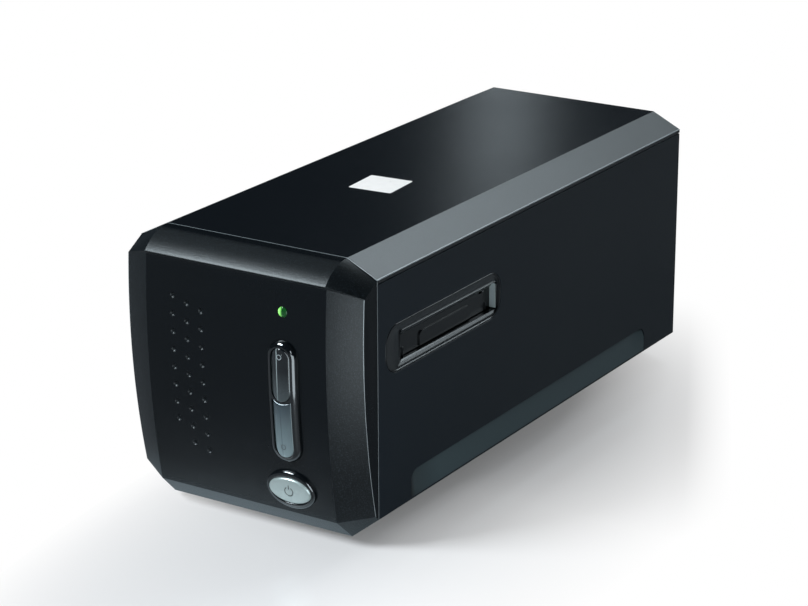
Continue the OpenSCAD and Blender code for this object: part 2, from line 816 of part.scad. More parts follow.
module button_switches() {
    color([0.15, 0.15, 0.16]) for (z = switch_zs) {
        block(control_x - 3, control_x + 3, board_y - switch_t + 1, board_y, z - 3, z + 3);
        rod_y(control_x, z, 1.7, board_y - switch_t, board_y - switch_t + 1 + e);
    }
}

module board_screws() {
    color(steel) {
        for (x = board_post_x, z = board_post_z)
            translate([x, board_y + board_t, z]) rotate([90, 0, 0]) screw(6, 1.1);
        for (x = main_post_x, z = main_post_z)
            translate([x, main_board_y + board_t, z]) rotate([90, 0, 0]) screw(6, 1.1);
    }
}

// ---- scanning mechanism ----

main_post_x = [8 - chassis_x, chassis_x - 8];
main_post_z = [main_board_z[0] + 8, main_board_z[1] - 8];

module chassis_frame() {
    w = chassis_x;
    color(steel) difference() {
        union() {
            block(-w, w, front_wall_y, rear_wall_y + upright_t, floor_z, plate_z);
            for (y = [front_wall_y, rear_wall_y]) {
                block(-w, w, y, y + upright_t, floor_z, ear_top_z);
                // ear that holds the guide rod
                block(rod_x - 7, -w + e, y, y + upright_t, side_low_z + 4, ear_top_z);
            }
            block(-w, w, rear_wall_y, rear_wall_y + upright_t, ear_top_z - e, main_board_z[1] + 4);
            // posts under the film guide
            for (x = [6 - w, w - 6])
                block(x - 5, x + 5, front_wall_y, front_wall_y + upright_t, ear_top_z - e, guide_low_z);
            for (x = main_post_x, z = main_post_z) rod_y(x, z, 3, rear_wall_y + upright_t - e, main_board_y);
        }
        for (y = [front_wall_y, rear_wall_y]) rod_y(rod_x, rod_z, rod_r, y - 1, y + upright_t + 1);
        for (y = [idler_y, gear_y]) translate([gear_x, y, floor_z - 1]) cylinder(r = axle_r, h = chassis_t + 2);
        for (x = main_post_x, z = main_post_z) rod_y(x, z, 1.1, main_board_y - 5, main_board_y + 1);
    }
}

module film_guide() {
    low = guide_low_z;
    color([0.1, 0.1, 0.11]) difference() {
        union() {
            block(-chassis_x, chassis_x, film_y - rail_gap_y - e, film_y + rail_gap_y + e, low, low + 2);
            for (s = [-1, 1]) {
                y0 = s > 0 ? film_y + rail_gap_y : film_y - rail_gap_y - 3;
                block(-frame_x, frame_x, y0, y0 + 3, low, low + 12);
                // ledge over the edge of the film holder
                y1 = s > 0 ? film_y + rail_gap_y - 2.5 : film_y - rail_gap_y - 3;
                block(6 - chassis_x, chassis_x - 6, y1, y1 + 5.5, low + 9.4, low + 11);
            }
        }
        // window that the light passes through
        block(-14, 14, film_y - 20, film_y + 20, low - 1, low + 3);
    }
}

module guide_rod() {
    color(steel) rod_y(rod_x, rod_z, rod_r, front_wall_y, rear_wall_y + upright_t);
}

module slide_rail() {
    color(steel) {
        block(rail_x - 4, rail_x + 1, front_wall_y + upright_t, tub_rear_y - 6, rail_z - 1.5, rail_z);
        block(rail_x - 0.5, rail_x + 1, front_wall_y + upright_t, tub_rear_y - 6, plate_z, rail_z);
    }
}

flag_x = -tub_x - 3;
bushing_ys = [tub_front_y + 18, tub_rear_y - 18];
bushing_len = 12;
bushing_t = 1.5;

module scan_carriage() {
    w = tub_x;
    color([0.16, 0.16, 0.17]) difference() {
        union() {
            // tub that carries the optics
            block(-w, w, tub_front_y, tub_rear_y, tub_low_z, tub_low_z + tub_t);
            for (s = [-1, 1]) {
                x0 = s > 0 ? w - tub_t : -w;
                block(x0, x0 + tub_t, tub_front_y, tub_rear_y, tub_low_z, tub_top_z);
                // portal over the film
                block(x0, x0 + tub_t, post_y, post_y + 12, tub_top_z - e, arm_z + 3);
            }
            block(-w, w, tub_front_y, tub_front_y + tub_t, tub_low_z, tub_top_z);
            block(-w, w, tub_rear_y - tub_t, tub_rear_y, tub_low_z, tub_top_z);
            block(-w, w, lamp_y - 16, post_y + 12, arm_z, arm_z + 3);
            // lens seat and mirror cheeks
            for (y = [lens_y - 10, lens_y + 6]) block(-13, 13, y, y + 4, tub_low_z, axis_z + 11);
            // ears on the guide rod
            for (y = bushing_ys) {
                rod_y(rod_x, rod_z, rod_r + bushing_t + 2, y - bushing_len / 2, y + bushing_len / 2);
                block(rod_x, -w + e, y - bushing_len / 2, y + bushing_len / 2, rod_z - 3, rod_z + 3);
            }
            // flag of the home sensor
            block(flag_x - 0.5, -w + e, tub_rear_y - 8, tub_rear_y, tub_low_z, tub_low_z + 3);
            block(flag_x - 0.5, flag_x + 0.5, tub_rear_y - 8, tub_rear_y + 7, 15, tub_low_z + 3);
            // ear over the slide rail
            block(w - e, rail_x + 1, -10, 10, rail_z + 4, rail_z + 7);
        }
        for (y = bushing_ys) rod_y(rod_x, rod_z, rod_r + bushing_t, y - bushing_len, y + bushing_len);
        rod_y(0, axis_z, barrel_r, lens_y - 12, lens_y + 12);
        block(-16, 16, tub_rear_y - tub_t - 1, tub_rear_y + 1, axis_z - 5, axis_z + 5);
        // window for the light, and the saddle of the lamp
        block(-16, 16, lamp_y - 4, lamp_y + 4, arm_z - 1, arm_z + 1.5);
    }
}

module rod_bushings() {
    color([0.7, 0.5, 0.25]) for (y = bushing_ys) difference() {
        rod_y(rod_x, rod_z, rod_r + bushing_t, y - bushing_len / 2, y + bushing_len / 2);
        rod_y(rod_x, rod_z, rod_r + fit, y - bushing_len, y + bushing_len);
    }
}

module glide_shoe() {
    color([0.85, 0.85, 0.8]) block(rail_x - 4, rail_x + 1, -9, 9, rail_z + 0.05, rail_z + 4);
}

lamp_low_z = arm_z - 15;
lamp_x = tub_x - 7;

module lamp_housing() {
    color([0.9, 0.9, 0.88]) difference() {
        block(-lamp_x, lamp_x, lamp_y - 9, lamp_y + 9, lamp_low_z, arm_z);
        block(3 - lamp_x, lamp_x - 3, lamp_y - 6, lamp_y + 6, lamp_low_z - 1, arm_z - 3);
    }
}

module lamp_board() {
    color(board_green) {
        block(3 - lamp_x, lamp_x - 3, lamp_y - 6, lamp_y + 6, arm_z - 4.6, arm_z - 3);
        for (x = [-12:6:12]) block(x - 1.5, x + 1.5, lamp_y - 1.5, lamp_y + 1.5, arm_z - 5.6, arm_z - 4.6);
    }
}

module light_diffuser() {
    color([0.95, 0.95, 0.95]) block(3 - lamp_x, lamp_x - 3, lamp_y - 6, lamp_y + 6, lamp_low_z, lamp_low_z + 2);
}

module fold_mirror() {
    // a mirror at 45 degrees on a wedge
    back = 2 * cos(45);
    color([0.75, 0.8, 0.85]) translate([0, lamp_y, axis_z]) {
        rotate([-45, 0, 0]) block(4 - tub_x, tub_x - 4, -13, 13, -2, 0);
        along_x(8 - tub_x, tub_x - 8) polygon([
            [-9 - back, tub_low_z + tub_t - axis_z], [9 - back, tub_low_z + tub_t - axis_z],
            [9 - back, -9 - back + e], [-9 - back, 9 - back + e]
        ]);
    }
}

barrel_r = 8;
lens_r = 5.5;

module lens_barrel() {
    color([0.08, 0.08, 0.09]) difference() {
        union() {
            rod_y(0, axis_z, barrel_r, lens_y - 12, lens_y + 12);
            rod_y(0, axis_z, barrel_r + 1.5, lens_y - 6, lens_y + 6);
        }
        rod_y(0, axis_z, lens_r, lens_y - 13, lens_y + 13);
    }
}

module lens_glass() {
    color([0.7, 0.85, 0.9]) for (y = [lens_y - 10, lens_y - 2, lens_y + 8]) intersection() {
        rod_y(0, axis_z, lens_r, y, y + 3);
        translate([0, y + 11, axis_z]) sphere(11, $fn = 96);
    }
}

module sensor_board() {
    color(board_green) block(3 - tub_x, tub_x - 3, tub_rear_y - tub_t - board_t, tub_rear_y - tub_t, axis_z - 16, axis_z + 16);
}

module image_sensor() {
    color([0.2, 0.2, 0.22]) block(6 - tub_x, tub_x - 6, tub_rear_y - tub_t - board_t - 3, tub_rear_y - tub_t - board_t,
        axis_z - 5, axis_z + 5);
}

// ---- drive ----

// Involute spur gear outline
function involute(base_r, a) = [base_r * (cos(a) + a * PI / 180 * sin(a)), base_r * (sin(a) - a * PI / 180 * cos(a))];
function turn(p, a) = [p[0] * cos(a) - p[1] * sin(a), p[0] * sin(a) + p[1] * cos(a)];
module gear_outline(teeth) {
    pr = gear_module * teeth / 2;
    br = pr * cos(pressure_angle);
    tip = pr + 0.8 * gear_module;
    root = pr - 1.05 * gear_module;
    a_pitch = sqrt(pow(pr / br, 2) - 1) * 180 / PI;
    a_tip = sqrt(pow(tip / br, 2) - 1) * 180 / PI;
    a_low = root > br ? sqrt(pow(root / br, 2) - 1) * 180 / PI : 0;
    phase = atan2(involute(br, a_pitch)[1], involute(br, a_pitch)[0]);
    half = 90 / teeth - tooth_play / pr * 90 / PI;
    flank = [for (i = [0:4]) turn(involute(br, a_low + (a_tip - a_low) * i / 4), -half - phase)];
    foot = root < br ? [turn([root, 0], -half - phase)] : [];
    side = concat(foot, flank);
    other = [for (i = [len(side) - 1:-1:0]) [side[i][0], -side[i][1]]];
    polygon([for (t = [0:teeth - 1]) for (p = concat(side, other)) turn(p, 360 * t / teeth)]);
}

module pulley(z0) {
    translate([0, 0, z0]) {
        cylinder(r = pulley_r - belt_t / 2 - 0.02, h = belt_w + 1);
        cylinder(r = pulley_r + 1, h = 0.4);
        translate([0, 0, belt_w + 0.6]) cylinder(r = pulley_r + 1, h = 0.4);
    }
}

module drive_gear() {
    color([0.9, 0.9, 0.88]) translate([gear_x, gear_y, 0]) difference() {
        union() {
            translate([0, 0, gear_z]) linear_extrude(gear_t) rotate(180 / gear_teeth) gear_outline(gear_teeth);
            translate([0, 0, gear_z + gear_t - e]) cylinder(r = 5, h = belt_z - gear_z - gear_t);
            pulley(belt_z - 0.5);
        }
        translate([0, 0, gear_z - 1]) cylinder(r = axle_r + fit, h = 20);
        for (a = [0:60:300]) rotate(a + 30) translate([14.5, 0, gear_z - 1]) cylinder(r = 4, h = gear_t + 2);
    }
}

module motor_pinion() {
    color([0.85, 0.75, 0.4]) translate([motor_x, gear_y, 0]) difference() {
        translate([0, 0, gear_z - 0.5]) linear_extrude(gear_t + 1)
            rotate(180 + (pinion_teeth % 2) * 180 / pinion_teeth) gear_outline(pinion_teeth);
        translate([0, 0, gear_z - 1]) cylinder(r = shaft_r, h = gear_t + 2);
    }
}

module motor_shaft() {
    color(steel) translate([motor_x, gear_y, gear_z - 1])
        cylinder(r = shaft_r, h = bracket_z + bracket_t + shaft_in - gear_z + 1);
}

axle_top_z = belt_z + belt_w + 0.9;

module gear_axle() {
    color(steel) translate([gear_x, gear_y, 0]) {
        translate([0, 0, floor_z]) cylinder(r = axle_r, h = axle_top_z - floor_z);
        translate([0, 0, plate_z]) cylinder(r = axle_r + 1.2, h = gear_z - plate_z - 0.05);
    }
}

module idler_pulley() {
    color([0.9, 0.9, 0.88]) translate([gear_x, idler_y, 0]) difference() {
        pulley(belt_z - 0.5);
        translate([0, 0, belt_z - 1]) cylinder(r = axle_r + fit, h = 10);
    }
}

module idler_axle() {
    color(steel) translate([gear_x, idler_y, 0]) {
        translate([0, 0, floor_z]) cylinder(r = axle_r, h = axle_top_z - floor_z);
        translate([0, 0, plate_z]) cylinder(r = axle_r + 1.2, h = belt_z - 0.5 - plate_z - 0.05);
    }
}

module belt_outline(r) {
    square([2 * r, gear_y - idler_y], center = true);
    for (s = [-1, 1]) translate([0, s * (gear_y - idler_y) / 2]) circle(r);
}

module drive_belt() {
    color([0.07, 0.07, 0.07]) translate([gear_x, (gear_y + idler_y) / 2, belt_z]) linear_extrude(belt_w) difference() {
        belt_outline(pulley_r + belt_t / 2);
        belt_outline(pulley_r - belt_t / 2);
    }
}

module belt_clamp() {
    x = gear_x - pulley_r;
    color([0.16, 0.16, 0.17]) difference() {
        block(x - 3, x + 3, -8, 8, belt_z - 0.5, tub_low_z);
        block(x - belt_t / 2 - 0.06, x + belt_t / 2 + 0.06, -9, 9, belt_z - 1, belt_z + belt_w + 0.1);
    }
}

module stepper_motor() {
    color([0.55, 0.56, 0.58]) translate([motor_x, gear_y, 0]) {
        difference() {
            union() {
                translate([0, 0, bracket_z + bracket_t]) cylinder(r = motor_r, h = motor_h);
                translate([0, 0, bracket_z - 0.2]) cylinder(r = 4, h = bracket_t + 0.3);
            }
            translate([0, 0, bracket_z - 1]) cylinder(r = shaft_r + fit, h = shaft_in + bracket_t + 1.5);
        }
    }
}

module motor_bracket() {
    x0 = motor_x - motor_r + 0.5;
    color(steel) difference() {
        union() {
            block(x0, motor_x + motor_r + 0.7, gear_y - motor_r - 1, gear_y + motor_r + 1, bracket_z, bracket_z + bracket_t);
            for (y = [gear_y - motor_r - 1, gear_y + motor_r - 1])
                block(gear_x + gear_pitch_r + 8, chassis_x, y, y + 2, plate_z, bracket_z + e);
        }
        translate([motor_x, gear_y, bracket_z - 1]) cylinder(r = 4, h = bracket_t + 2);
    }
}

module home_sensor() {
    color([0.12, 0.12, 0.13]) difference() {
        block(flag_x - 4, flag_x + 4, tub_rear_y + 4, tub_rear_y + 10, plate_z, 21);
        block(flag_x - 1.2, flag_x + 1.2, tub_rear_y + 3, tub_rear_y + 11, 13, 22);
    }
}

module main_board() {
    color(board_green) difference() {
        block(-chassis_x, chassis_x, main_board_y, main_board_y + board_t, main_board_z[0], main_board_z[1]);
        for (x = main_post_x, z = main_post_z) rod_y(x, z, 1.3, main_board_y - 1, main_board_y + board_t + 1);
    }
}

module board_parts() {
    y = main_board_y;
    color([0.12, 0.12, 0.13]) {
        block(-10, 6, y - 1.6, y, 62, 78);
        block(14, 24, y - 1.2, y, 60, 66);
        block(-26, -16, y - 1.2, y, 66, 72);
        // connectors of the ribbon cables
        block(-14, 10, y - 3.5, y, 86, 90);
        block(18, 30, y - 3.5, y, 40, 44);
        for (x = [18, 26]) rod_y(x, 30, 3, y + board_t, y + board_t + 8);
    }
}

socket_y = main_board_y + board_t;

module usb_socket() {
    color(silver) difference() {
        block(usb_x - 6, usb_x + 6, socket_y, rear_y - 0.4, socket_z - 5.5, socket_z + 5.5);
        block(usb_x - 4.2, usb_x + 4.2, rear_y - 9, rear_y, socket_z - 3.9, socket_z + 3.9);
    }
    color([0.9, 0.9, 0.9]) block(usb_x - 2.8, usb_x + 2.8, rear_y - 9.5, rear_y - 1.6, socket_z - 1.6, socket_z + 1.6);
}

module power_socket() {
    color(gloss_black) difference() {
        union() {
            block(jack_x - 4.5, jack_x + 4.5, socket_y, rear_y - 4.5, socket_z - 5.5, socket_z + 5.5);
            rod_y(jack_x, socket_z, 4.4, rear_y - 5, rear_y - 0.5);
        }
        rod_y(jack_x, socket_z, 2.75, rear_y - 10, rear_y);
    }
    color(steel) rod_y(jack_x, socket_z, 1, rear_y - 10.5, rear_y - 1.5);
}

module casing_screws() {
    color(steel) for (p = casing_posts) translate([p[0], p[1], head_seat_z]) screw(post_joint_z + thread_in - head_seat_z);
}

module rear_screws() {
    color(steel) for (x = rear_screw_x, z = rear_screw_z)
        translate([x, panel_y + panel_t, z]) rotate([90, 0, 0]) screw(6.5);
}

front_bezel();
top_cover();
right_side_panel();
left_side_panel();
base_tray();
rear_panel();
right_slot_frame();
left_slot_frame();
right_dust_flap();
left_dust_flap();
right_flap_pin();
left_flap_pin();
right_flap_spring();
left_flap_spring();
scan_button_pod();
upper_scan_button();
lower_scan_button();
power_button_ring();
power_button();
status_light_lens();
status_led();
button_board();
button_switches();
rubber_feet();
chassis_frame();
film_guide();
guide_rod();
slide_rail();
scan_carriage();
rod_bushings();
glide_shoe();
lamp_housing();
lamp_board();
light_diffuser();
fold_mirror();
lens_barrel();
lens_glass();
sensor_board();
image_sensor();
stepper_motor();
motor_bracket();
motor_pinion();
motor_shaft();
drive_gear();
gear_axle();
idler_pulley();
idler_axle();
drive_belt();
belt_clamp();
home_sensor();
main_board();
board_parts();
usb_socket();
power_socket();
casing_screws();
rear_screws();
board_screws();
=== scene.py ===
import json
import math
import bmesh
import bpy
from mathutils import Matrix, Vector


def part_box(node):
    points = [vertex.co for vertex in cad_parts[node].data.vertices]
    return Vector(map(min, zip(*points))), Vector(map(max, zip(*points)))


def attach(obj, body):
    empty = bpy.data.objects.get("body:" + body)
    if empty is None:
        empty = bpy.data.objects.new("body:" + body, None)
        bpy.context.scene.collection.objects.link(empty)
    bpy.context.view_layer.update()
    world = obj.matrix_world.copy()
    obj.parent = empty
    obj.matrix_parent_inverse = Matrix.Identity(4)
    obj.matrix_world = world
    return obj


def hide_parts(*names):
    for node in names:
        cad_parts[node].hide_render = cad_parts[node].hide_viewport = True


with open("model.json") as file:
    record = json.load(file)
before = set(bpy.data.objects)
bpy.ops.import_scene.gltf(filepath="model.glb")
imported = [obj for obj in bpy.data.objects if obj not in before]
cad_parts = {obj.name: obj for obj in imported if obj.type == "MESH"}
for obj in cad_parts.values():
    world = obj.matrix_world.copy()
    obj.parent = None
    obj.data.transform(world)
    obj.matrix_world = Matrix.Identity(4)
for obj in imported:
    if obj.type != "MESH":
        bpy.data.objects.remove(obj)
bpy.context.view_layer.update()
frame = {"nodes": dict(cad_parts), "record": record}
nodes = frame["nodes"]
mm = 0.001
print("frame loaded:", len(nodes), "nodes")


class Shade:
    # one socket of a material: + - * / on it add Math nodes
    def __init__(self, tree, socket=None):
        self.tree = tree
        self.socket = socket

    def add(self, kind, settings=None, sockets=None, out=0):
        made = self.tree.nodes.new("ShaderNode" + kind)
        for name, value in (settings or {}).items():
            setattr(made, name, value)
        for name, value in (sockets or {}).items():
            if isinstance(value, Shade):
                self.tree.links.new(value.socket, made.inputs[name])
            else:
                made.inputs[name].default_value = value
        return Shade(self.tree, made.outputs[out] if len(made.outputs) else None)

    def maths(self, how, a, b, clamp=False):
        return self.add("Math", {"operation": how, "use_clamp": clamp}, {0: a, 1: b})

    def __add__(self, other):
        return self.maths("ADD", self, other)

    def __radd__(self, other):
        return self.maths("ADD", other, self)

    def __sub__(self, other):
        return self.maths("SUBTRACT", self, other)

    def __rsub__(self, other):
        return self.maths("SUBTRACT", other, self)

    def __mul__(self, other):
        return self.maths("MULTIPLY", self, other)

    def __rmul__(self, other):
        return self.maths("MULTIPLY", other, self)

    def __truediv__(self, other):
        return self.maths("DIVIDE", self, other)

    def __rtruediv__(self, other):
        return self.maths("DIVIDE", other, self)

    def split(self):
        # the x, y and z of a vector
        made = self.add("SeparateXYZ", {}, {"Vector": self})
        return [Shade(self.tree, part) for part in made.socket.node.outputs]

    def absolute(self):
        return self.maths("ABSOLUTE", self, 0.0)

    def clamped(self):
        return self.maths("ADD", self, 0.0, clamp=True)

    def blend(self, first, second):
        # the colour first where this value is 0, second where it is 1
        return self.add("Mix", {"data_type": "RGBA"}, {0: self, 6: first, 7: second}, out=2)


def colour(r, g, b):
    return (r, g, b, 1)


def newMaterial(name):
    made = bpy.data.materials.new(name)
    made.use_nodes = True
    made.node_tree.nodes.clear()
    return made, Shade(made.node_tree)


def principled(start, sockets):
    shader = start.add("BsdfPrincipled", {}, sockets)
    start.add("OutputMaterial", {}, {"Surface": shader})


def noise(place, scale, detail, sharp=0.5):
    return place.add("TexNoise", {}, {"Vector": place, "Scale": scale, "Detail": detail, "Roughness": sharp})


# the spark-eroded grain of every moulding, and its broader unevenness
grain = {
    "detail": 3.0, "sharp": 0.6, "broad": 14.0, "darkest": 0.85, "palest": 1.15,
    "roughFine": 0.10, "roughBroad": 0.06, "height": 0.12,
}
# the slanted facets of these mouldings have a coarser grain than the flat sides, and paler specks there that
# are partly painted highlight, where the lamps would catch the slants
slants = {
    "on": ("case_plastic", "bezel_plastic"), "flat": 0.93, "fade": 0.06, "rough": 0.38,
    "colour": (0.0010, 0.0018, 0.0024), "speck": (0.0075, 0.010, 0.012),
    "scale": 1.3, "detail": 2.0, "speckFrom": 0.52, "speckGain": 9, "coarse": 1.2,
}
# each moulded plastic: its colour, how rough and shiny it is, and how fine and deep its grain is
plastics = {
    "bezel_plastic": {"colour": (0.0011, 0.0019, 0.0027), "rough": 0.25, "shine": 0.26,
                      "grain": 1500, "bump": 0.35},
    "case_plastic": {"colour": (0.0014, 0.0023, 0.0034), "rough": 0.24, "shine": 0.35,
                     "grain": 1500, "bump": 0.22},
    "side_plastic": {"colour": (0.0010, 0.0038, 0.0075), "rough": 0.36, "shine": 0.22,
                     "grain": 1500, "bump": 0.22},
    # pale paint for the seam, arrises and ridges is painted highlight; the upper button's sign is printed in
    # it too
    "seam_plastic": {"colour": (0.17, 0.185, 0.19), "rough": 0.35, "shine": 0.50,
                     "grain": 1500, "bump": 0.05},
    # pale paint for the mouth's rear wall is painted highlight
    "guide_plastic": {"colour": (0.25, 0.28, 0.28), "rough": 0.45, "shine": 0.50,
                      "grain": 800, "bump": 0.30},
    "flap_plastic": {"colour": (0.0022, 0.0025, 0.0030), "rough": 0.22, "shine": 0.22,
                     "grain": 900, "bump": 0.02},
    "slot_plastic": {"colour": (0.0014, 0.0018, 0.0022), "rough": 0.25, "shine": 0.38,
                     "grain": 2200, "bump": 0.16},
    "gloss_black": {"colour": (0.0020, 0.0026, 0.0032), "rough": 0.08, "shine": 0.95,
                    "grain": 900, "bump": 0.0},
    "smoke_button": {"colour": (0.022, 0.027, 0.030), "rough": 0.12, "shine": 0.60,
                     "grain": 900, "bump": 0.02},
    "black_plastic": {"colour": (0.015, 0.015, 0.016), "rough": 0.45, "shine": 0.50,
                      "grain": 1200, "bump": 0.15},
    "white_plastic": {"colour": (0.80, 0.80, 0.78), "rough": 0.40, "shine": 0.50,
                      "grain": 1200, "bump": 0.05},
    "rubber": {"colour": (0.018, 0.018, 0.018), "rough": 0.75, "shine": 0.50,
               "grain": 1200, "bump": 0.2},
    "circuit_board": {"colour": (0.020, 0.110, 0.050), "rough": 0.40, "shine": 0.50,
                      "grain": 600, "bump": 0.05},
    "sticker_film": {"colour": (0.84, 0.76, 0.72), "rough": 0.30, "shine": 0.50,
                     "grain": 300, "bump": 0.02},
    "led_epoxy": {"colour": (0.55, 0.80, 0.45), "rough": 0.20, "shine": 0.50,
                  "grain": 600, "bump": 0.0},
}


def grainBump(height, strength):
    return height.add("Bump", {}, {
        "Strength": strength, "Distance": grain["height"] * mm, "Height": height})


def mouldedPlastic(name, spec):
    made, start = newMaterial(name)
    place = start.add("TexCoord", out="Object")
    fine = noise(place, spec["grain"], grain["detail"], grain["sharp"])
    broad = noise(place, grain["broad"], grain["detail"])
    dark = colour(*(grain["darkest"] * c for c in spec["colour"]))
    light = colour(*(min(grain["palest"] * c, 1) for c in spec["colour"]))
    tint = (broad * 0.5 + fine * 0.5).blend(dark, light)
    rough = spec["rough"] + (fine - 0.5) * grain["roughFine"] + (broad - 0.5) * grain["roughBroad"]
    height = fine
    if name in slants["on"]:
        x, y, z = start.add("TexCoord", out="Normal").split()
        straightness = x * x * x * x + y * y * y * y + z * z * z * z  # 1 on a flat side
        slant = ((slants["flat"] - straightness) / slants["fade"]).clamped()
        coarse = noise(place, spec["grain"] * slants["scale"], slants["detail"])
        # paler specks on the slants: coarse grain mixed with painted highlight
        speck = ((coarse - slants["speckFrom"]) * slants["speckGain"]).clamped()
        rough = rough + slant * (slants["rough"] - spec["rough"])
        tint = slant.blend(tint, speck.blend(colour(*slants["colour"]), colour(*slants["speck"])))
        height = fine + slant * coarse * slants["coarse"]
    principled(start, {"Base Color": tint, "Roughness": rough, "Specular IOR Level": spec["shine"],
                       "Normal": grainBump(height, spec["bump"])})
    return made


metals = {
    "silver_button": {"colour": (0.30, 0.34, 0.33), "rough": 0.27, "brushed": 0.0, "metallic": 0.45},
    "steel": {"colour": (0.62, 0.62, 0.62), "rough": 0.25, "brushed": 0.08, "metallic": 1.0},
    "sheet_steel": {"colour": (0.55, 0.56, 0.57), "rough": 0.38, "brushed": 0.10, "metallic": 1.0},
    "bronze": {"colour": (0.60, 0.38, 0.18), "rough": 0.32, "brushed": 0.06, "metallic": 1.0},
    "mirror": {"colour": (0.90, 0.91, 0.92), "rough": 0.02, "brushed": 0.0, "metallic": 1.0},
}
streaks = {"scale": (400.0, 3000.0, 400.0), "detail": 2.0}


def metal(name, spec):
    made, start = newMaterial(name)
    place = start.add("TexCoord", out="Object")
    stretched = place.add("Mapping", {}, {"Vector": place, "Scale": streaks["scale"]})
    rough = spec["rough"] + (noise(stretched, 1.0, streaks["detail"]) - 0.5) * spec["brushed"]
    principled(start, {"Base Color": colour(*spec["colour"]), "Metallic": spec["metallic"],
                       "Roughness": rough})
    return made


glass = {"colour": (0.85, 0.92, 0.90), "rough": 0.02, "ior": 1.50, "clear": 0.7}


def clearGlass(name, spec):
    made, start = newMaterial(name)
    principled(start, {"Base Color": colour(*spec["colour"]), "Roughness": spec["rough"], "IOR": spec["ior"],
                       "Transmission Weight": spec["clear"]})
    return made


lens = {
    "bright": (0.28, 0.80, 0.16), "dark": (0.003, 0.035, 0.006), "x": 22.2, "fade": 1.6,
    "rough": 0.08, "ior": 1.5, "glow": 0.25,
}


def litLens(name, spec):
    # the lens glows green, bright towards one side and dark on the other
    made, start = newMaterial(name)
    x, y, z = start.add("TexCoord", out="Object").split()
    lit = ((spec["x"] * mm - x) / (spec["fade"] * mm) + 0.5).clamped()
    tint = lit.blend(colour(*spec["dark"]), colour(*spec["bright"]))
    principled(start, {"Base Color": tint, "Roughness": spec["rough"], "IOR": spec["ior"],
                       "Emission Color": tint, "Emission Strength": spec["glow"]})
    return made


keyCap = {"x": 23.1, "half": 4.35, "rimFrom": 0.90, "sharp": 14, "lineLow": 0.4, "rough": 0.14, "coat": 0.6}
# the rim colour is a painted reflection, and the upper button's line colour a painted highlight
keyLooks = {
    "upper_key": {"low": (0.030, 0.036, 0.038), "high": (0.003, 0.004, 0.005), "rim": (0.24, 0.27, 0.27),
                  "line": (0.22, 0.25, 0.25), "z": (61.2, 74), "lineAt": 0.3, "metal": 0.0},
    "lower_key": {"low": (0.17, 0.215, 0.225), "high": (0.028, 0.038, 0.046), "rim": (0.45, 0.52, 0.52),
                  "line": (0.03, 0.045, 0.055), "z": (37.3, 60), "lineAt": 0.1, "metal": 0.35},
}


def keyTintAndSheen(name, spec):
    # lighter towards the bottom; a line runs down each button, a painted highlight on the upper one and
    # darker on the lower one, and the pale rim is a painted reflection on the rounded edge
    made, start = newMaterial(name)
    x, y, z = start.add("TexCoord", out="Object").split()
    low, high = (v * mm for v in spec["z"])
    climb = ((z - low) / (high - low)).clamped()
    body = climb.blend(colour(*spec["low"]), colour(*spec["high"]))
    across = (x - keyCap["x"] * mm) / (keyCap["half"] * mm)
    # the pale rim is a painted reflection, and the upper button's line a painted highlight
    rim = ((across.absolute() - keyCap["rimFrom"]) * keyCap["sharp"]).clamped()
    line = (1 - (across + spec["lineAt"]).absolute() * keyCap["sharp"]).clamped()
    line = line * (keyCap["lineLow"] + (1 - keyCap["lineLow"]) * climb)
    tint = line.blend(rim.blend(body, colour(*spec["rim"])), colour(*spec["line"]))
    principled(start, {"Base Color": tint, "Roughness": keyCap["rough"], "Metallic": spec["metal"],
                       "Coat Weight": keyCap["coat"]})
    return made


# the grip scoop's pale colour is painted highlight, and its dark upper edge and front end are painted shade
gripSkin = {
    "colour": (0.032, 0.050, 0.055), "palest": 1.15, "dark": (0.0004, 0.0006, 0.0008),
    "rough": 0.50, "shine": 0.45, "grain": 1500, "bump": 0.25, "patch": 22.0, "patchDetail": 2.0,
    "top": 24.4, "topFade": 1.6, "front": -94.6, "frontFade": 3.0, "frontLow": 0.45, "frontReach": 25,
    "wornLow": 0.7, "wornMore": 0.6,
}


def gripShading(name, spec):
    # painted highlight makes the middle of the scoop pale, patchy at random, and painted shade darkens it
    # under its upper edge and at its front end
    made, start = newMaterial(name)
    place = start.add("TexCoord", out="Object")
    x, y, z = place.split()
    fine = noise(place, spec["grain"], grain["detail"], grain["sharp"])
    patch = noise(place, spec["patch"], spec["patchDetail"])
    below = ((spec["top"] * mm - z) / (spec["topFade"] * mm)).clamped()
    inward = y - spec["front"] * mm
    deepening = spec["frontLow"] + (1 - spec["frontLow"]) * (inward / (spec["frontReach"] * mm)).clamped()
    behind = (inward / (spec["frontFade"] * mm)).clamped() * deepening
    # how much painted highlight shows, against the painted shade
    litShare = below * behind * (spec["wornLow"] + spec["wornMore"] * patch)
    tint = litShare.blend(colour(*spec["dark"]), colour(*(spec["palest"] * c for c in spec["colour"])))
    principled(start, {"Base Color": tint, "Roughness": spec["rough"] + (fine - 0.5) * grain["roughFine"],
                       "Specular IOR Level": spec["shine"], "Normal": grainBump(fine, spec["bump"])})
    return made


finishes = {
    "green_lens": litLens("green_lens", lens),
    "glass": clearGlass("glass", glass),
    "grip_plastic": gripShading("grip_plastic", gripSkin),
}
for looks, makeFinish in ((plastics, mouldedPlastic), (metals, metal), (keyLooks, keyTintAndSheen)):
    for name, spec in looks.items():
        finishes[name] = makeFinish(name, spec)
print("materials:", len(finishes))


# meshes are made in millimetres, and come out in metres
def meshOf(name, points, faces):
    mesh = bpy.data.meshes.new(name)
    mesh.from_pydata([[c * mm for c in p] for p in points], [], faces)
    mesh.validate()
    return mesh


def objectOf(name, data):
    made = bpy.data.objects.new(name, data)
    bpy.context.scene.collection.objects.link(made)
    return made


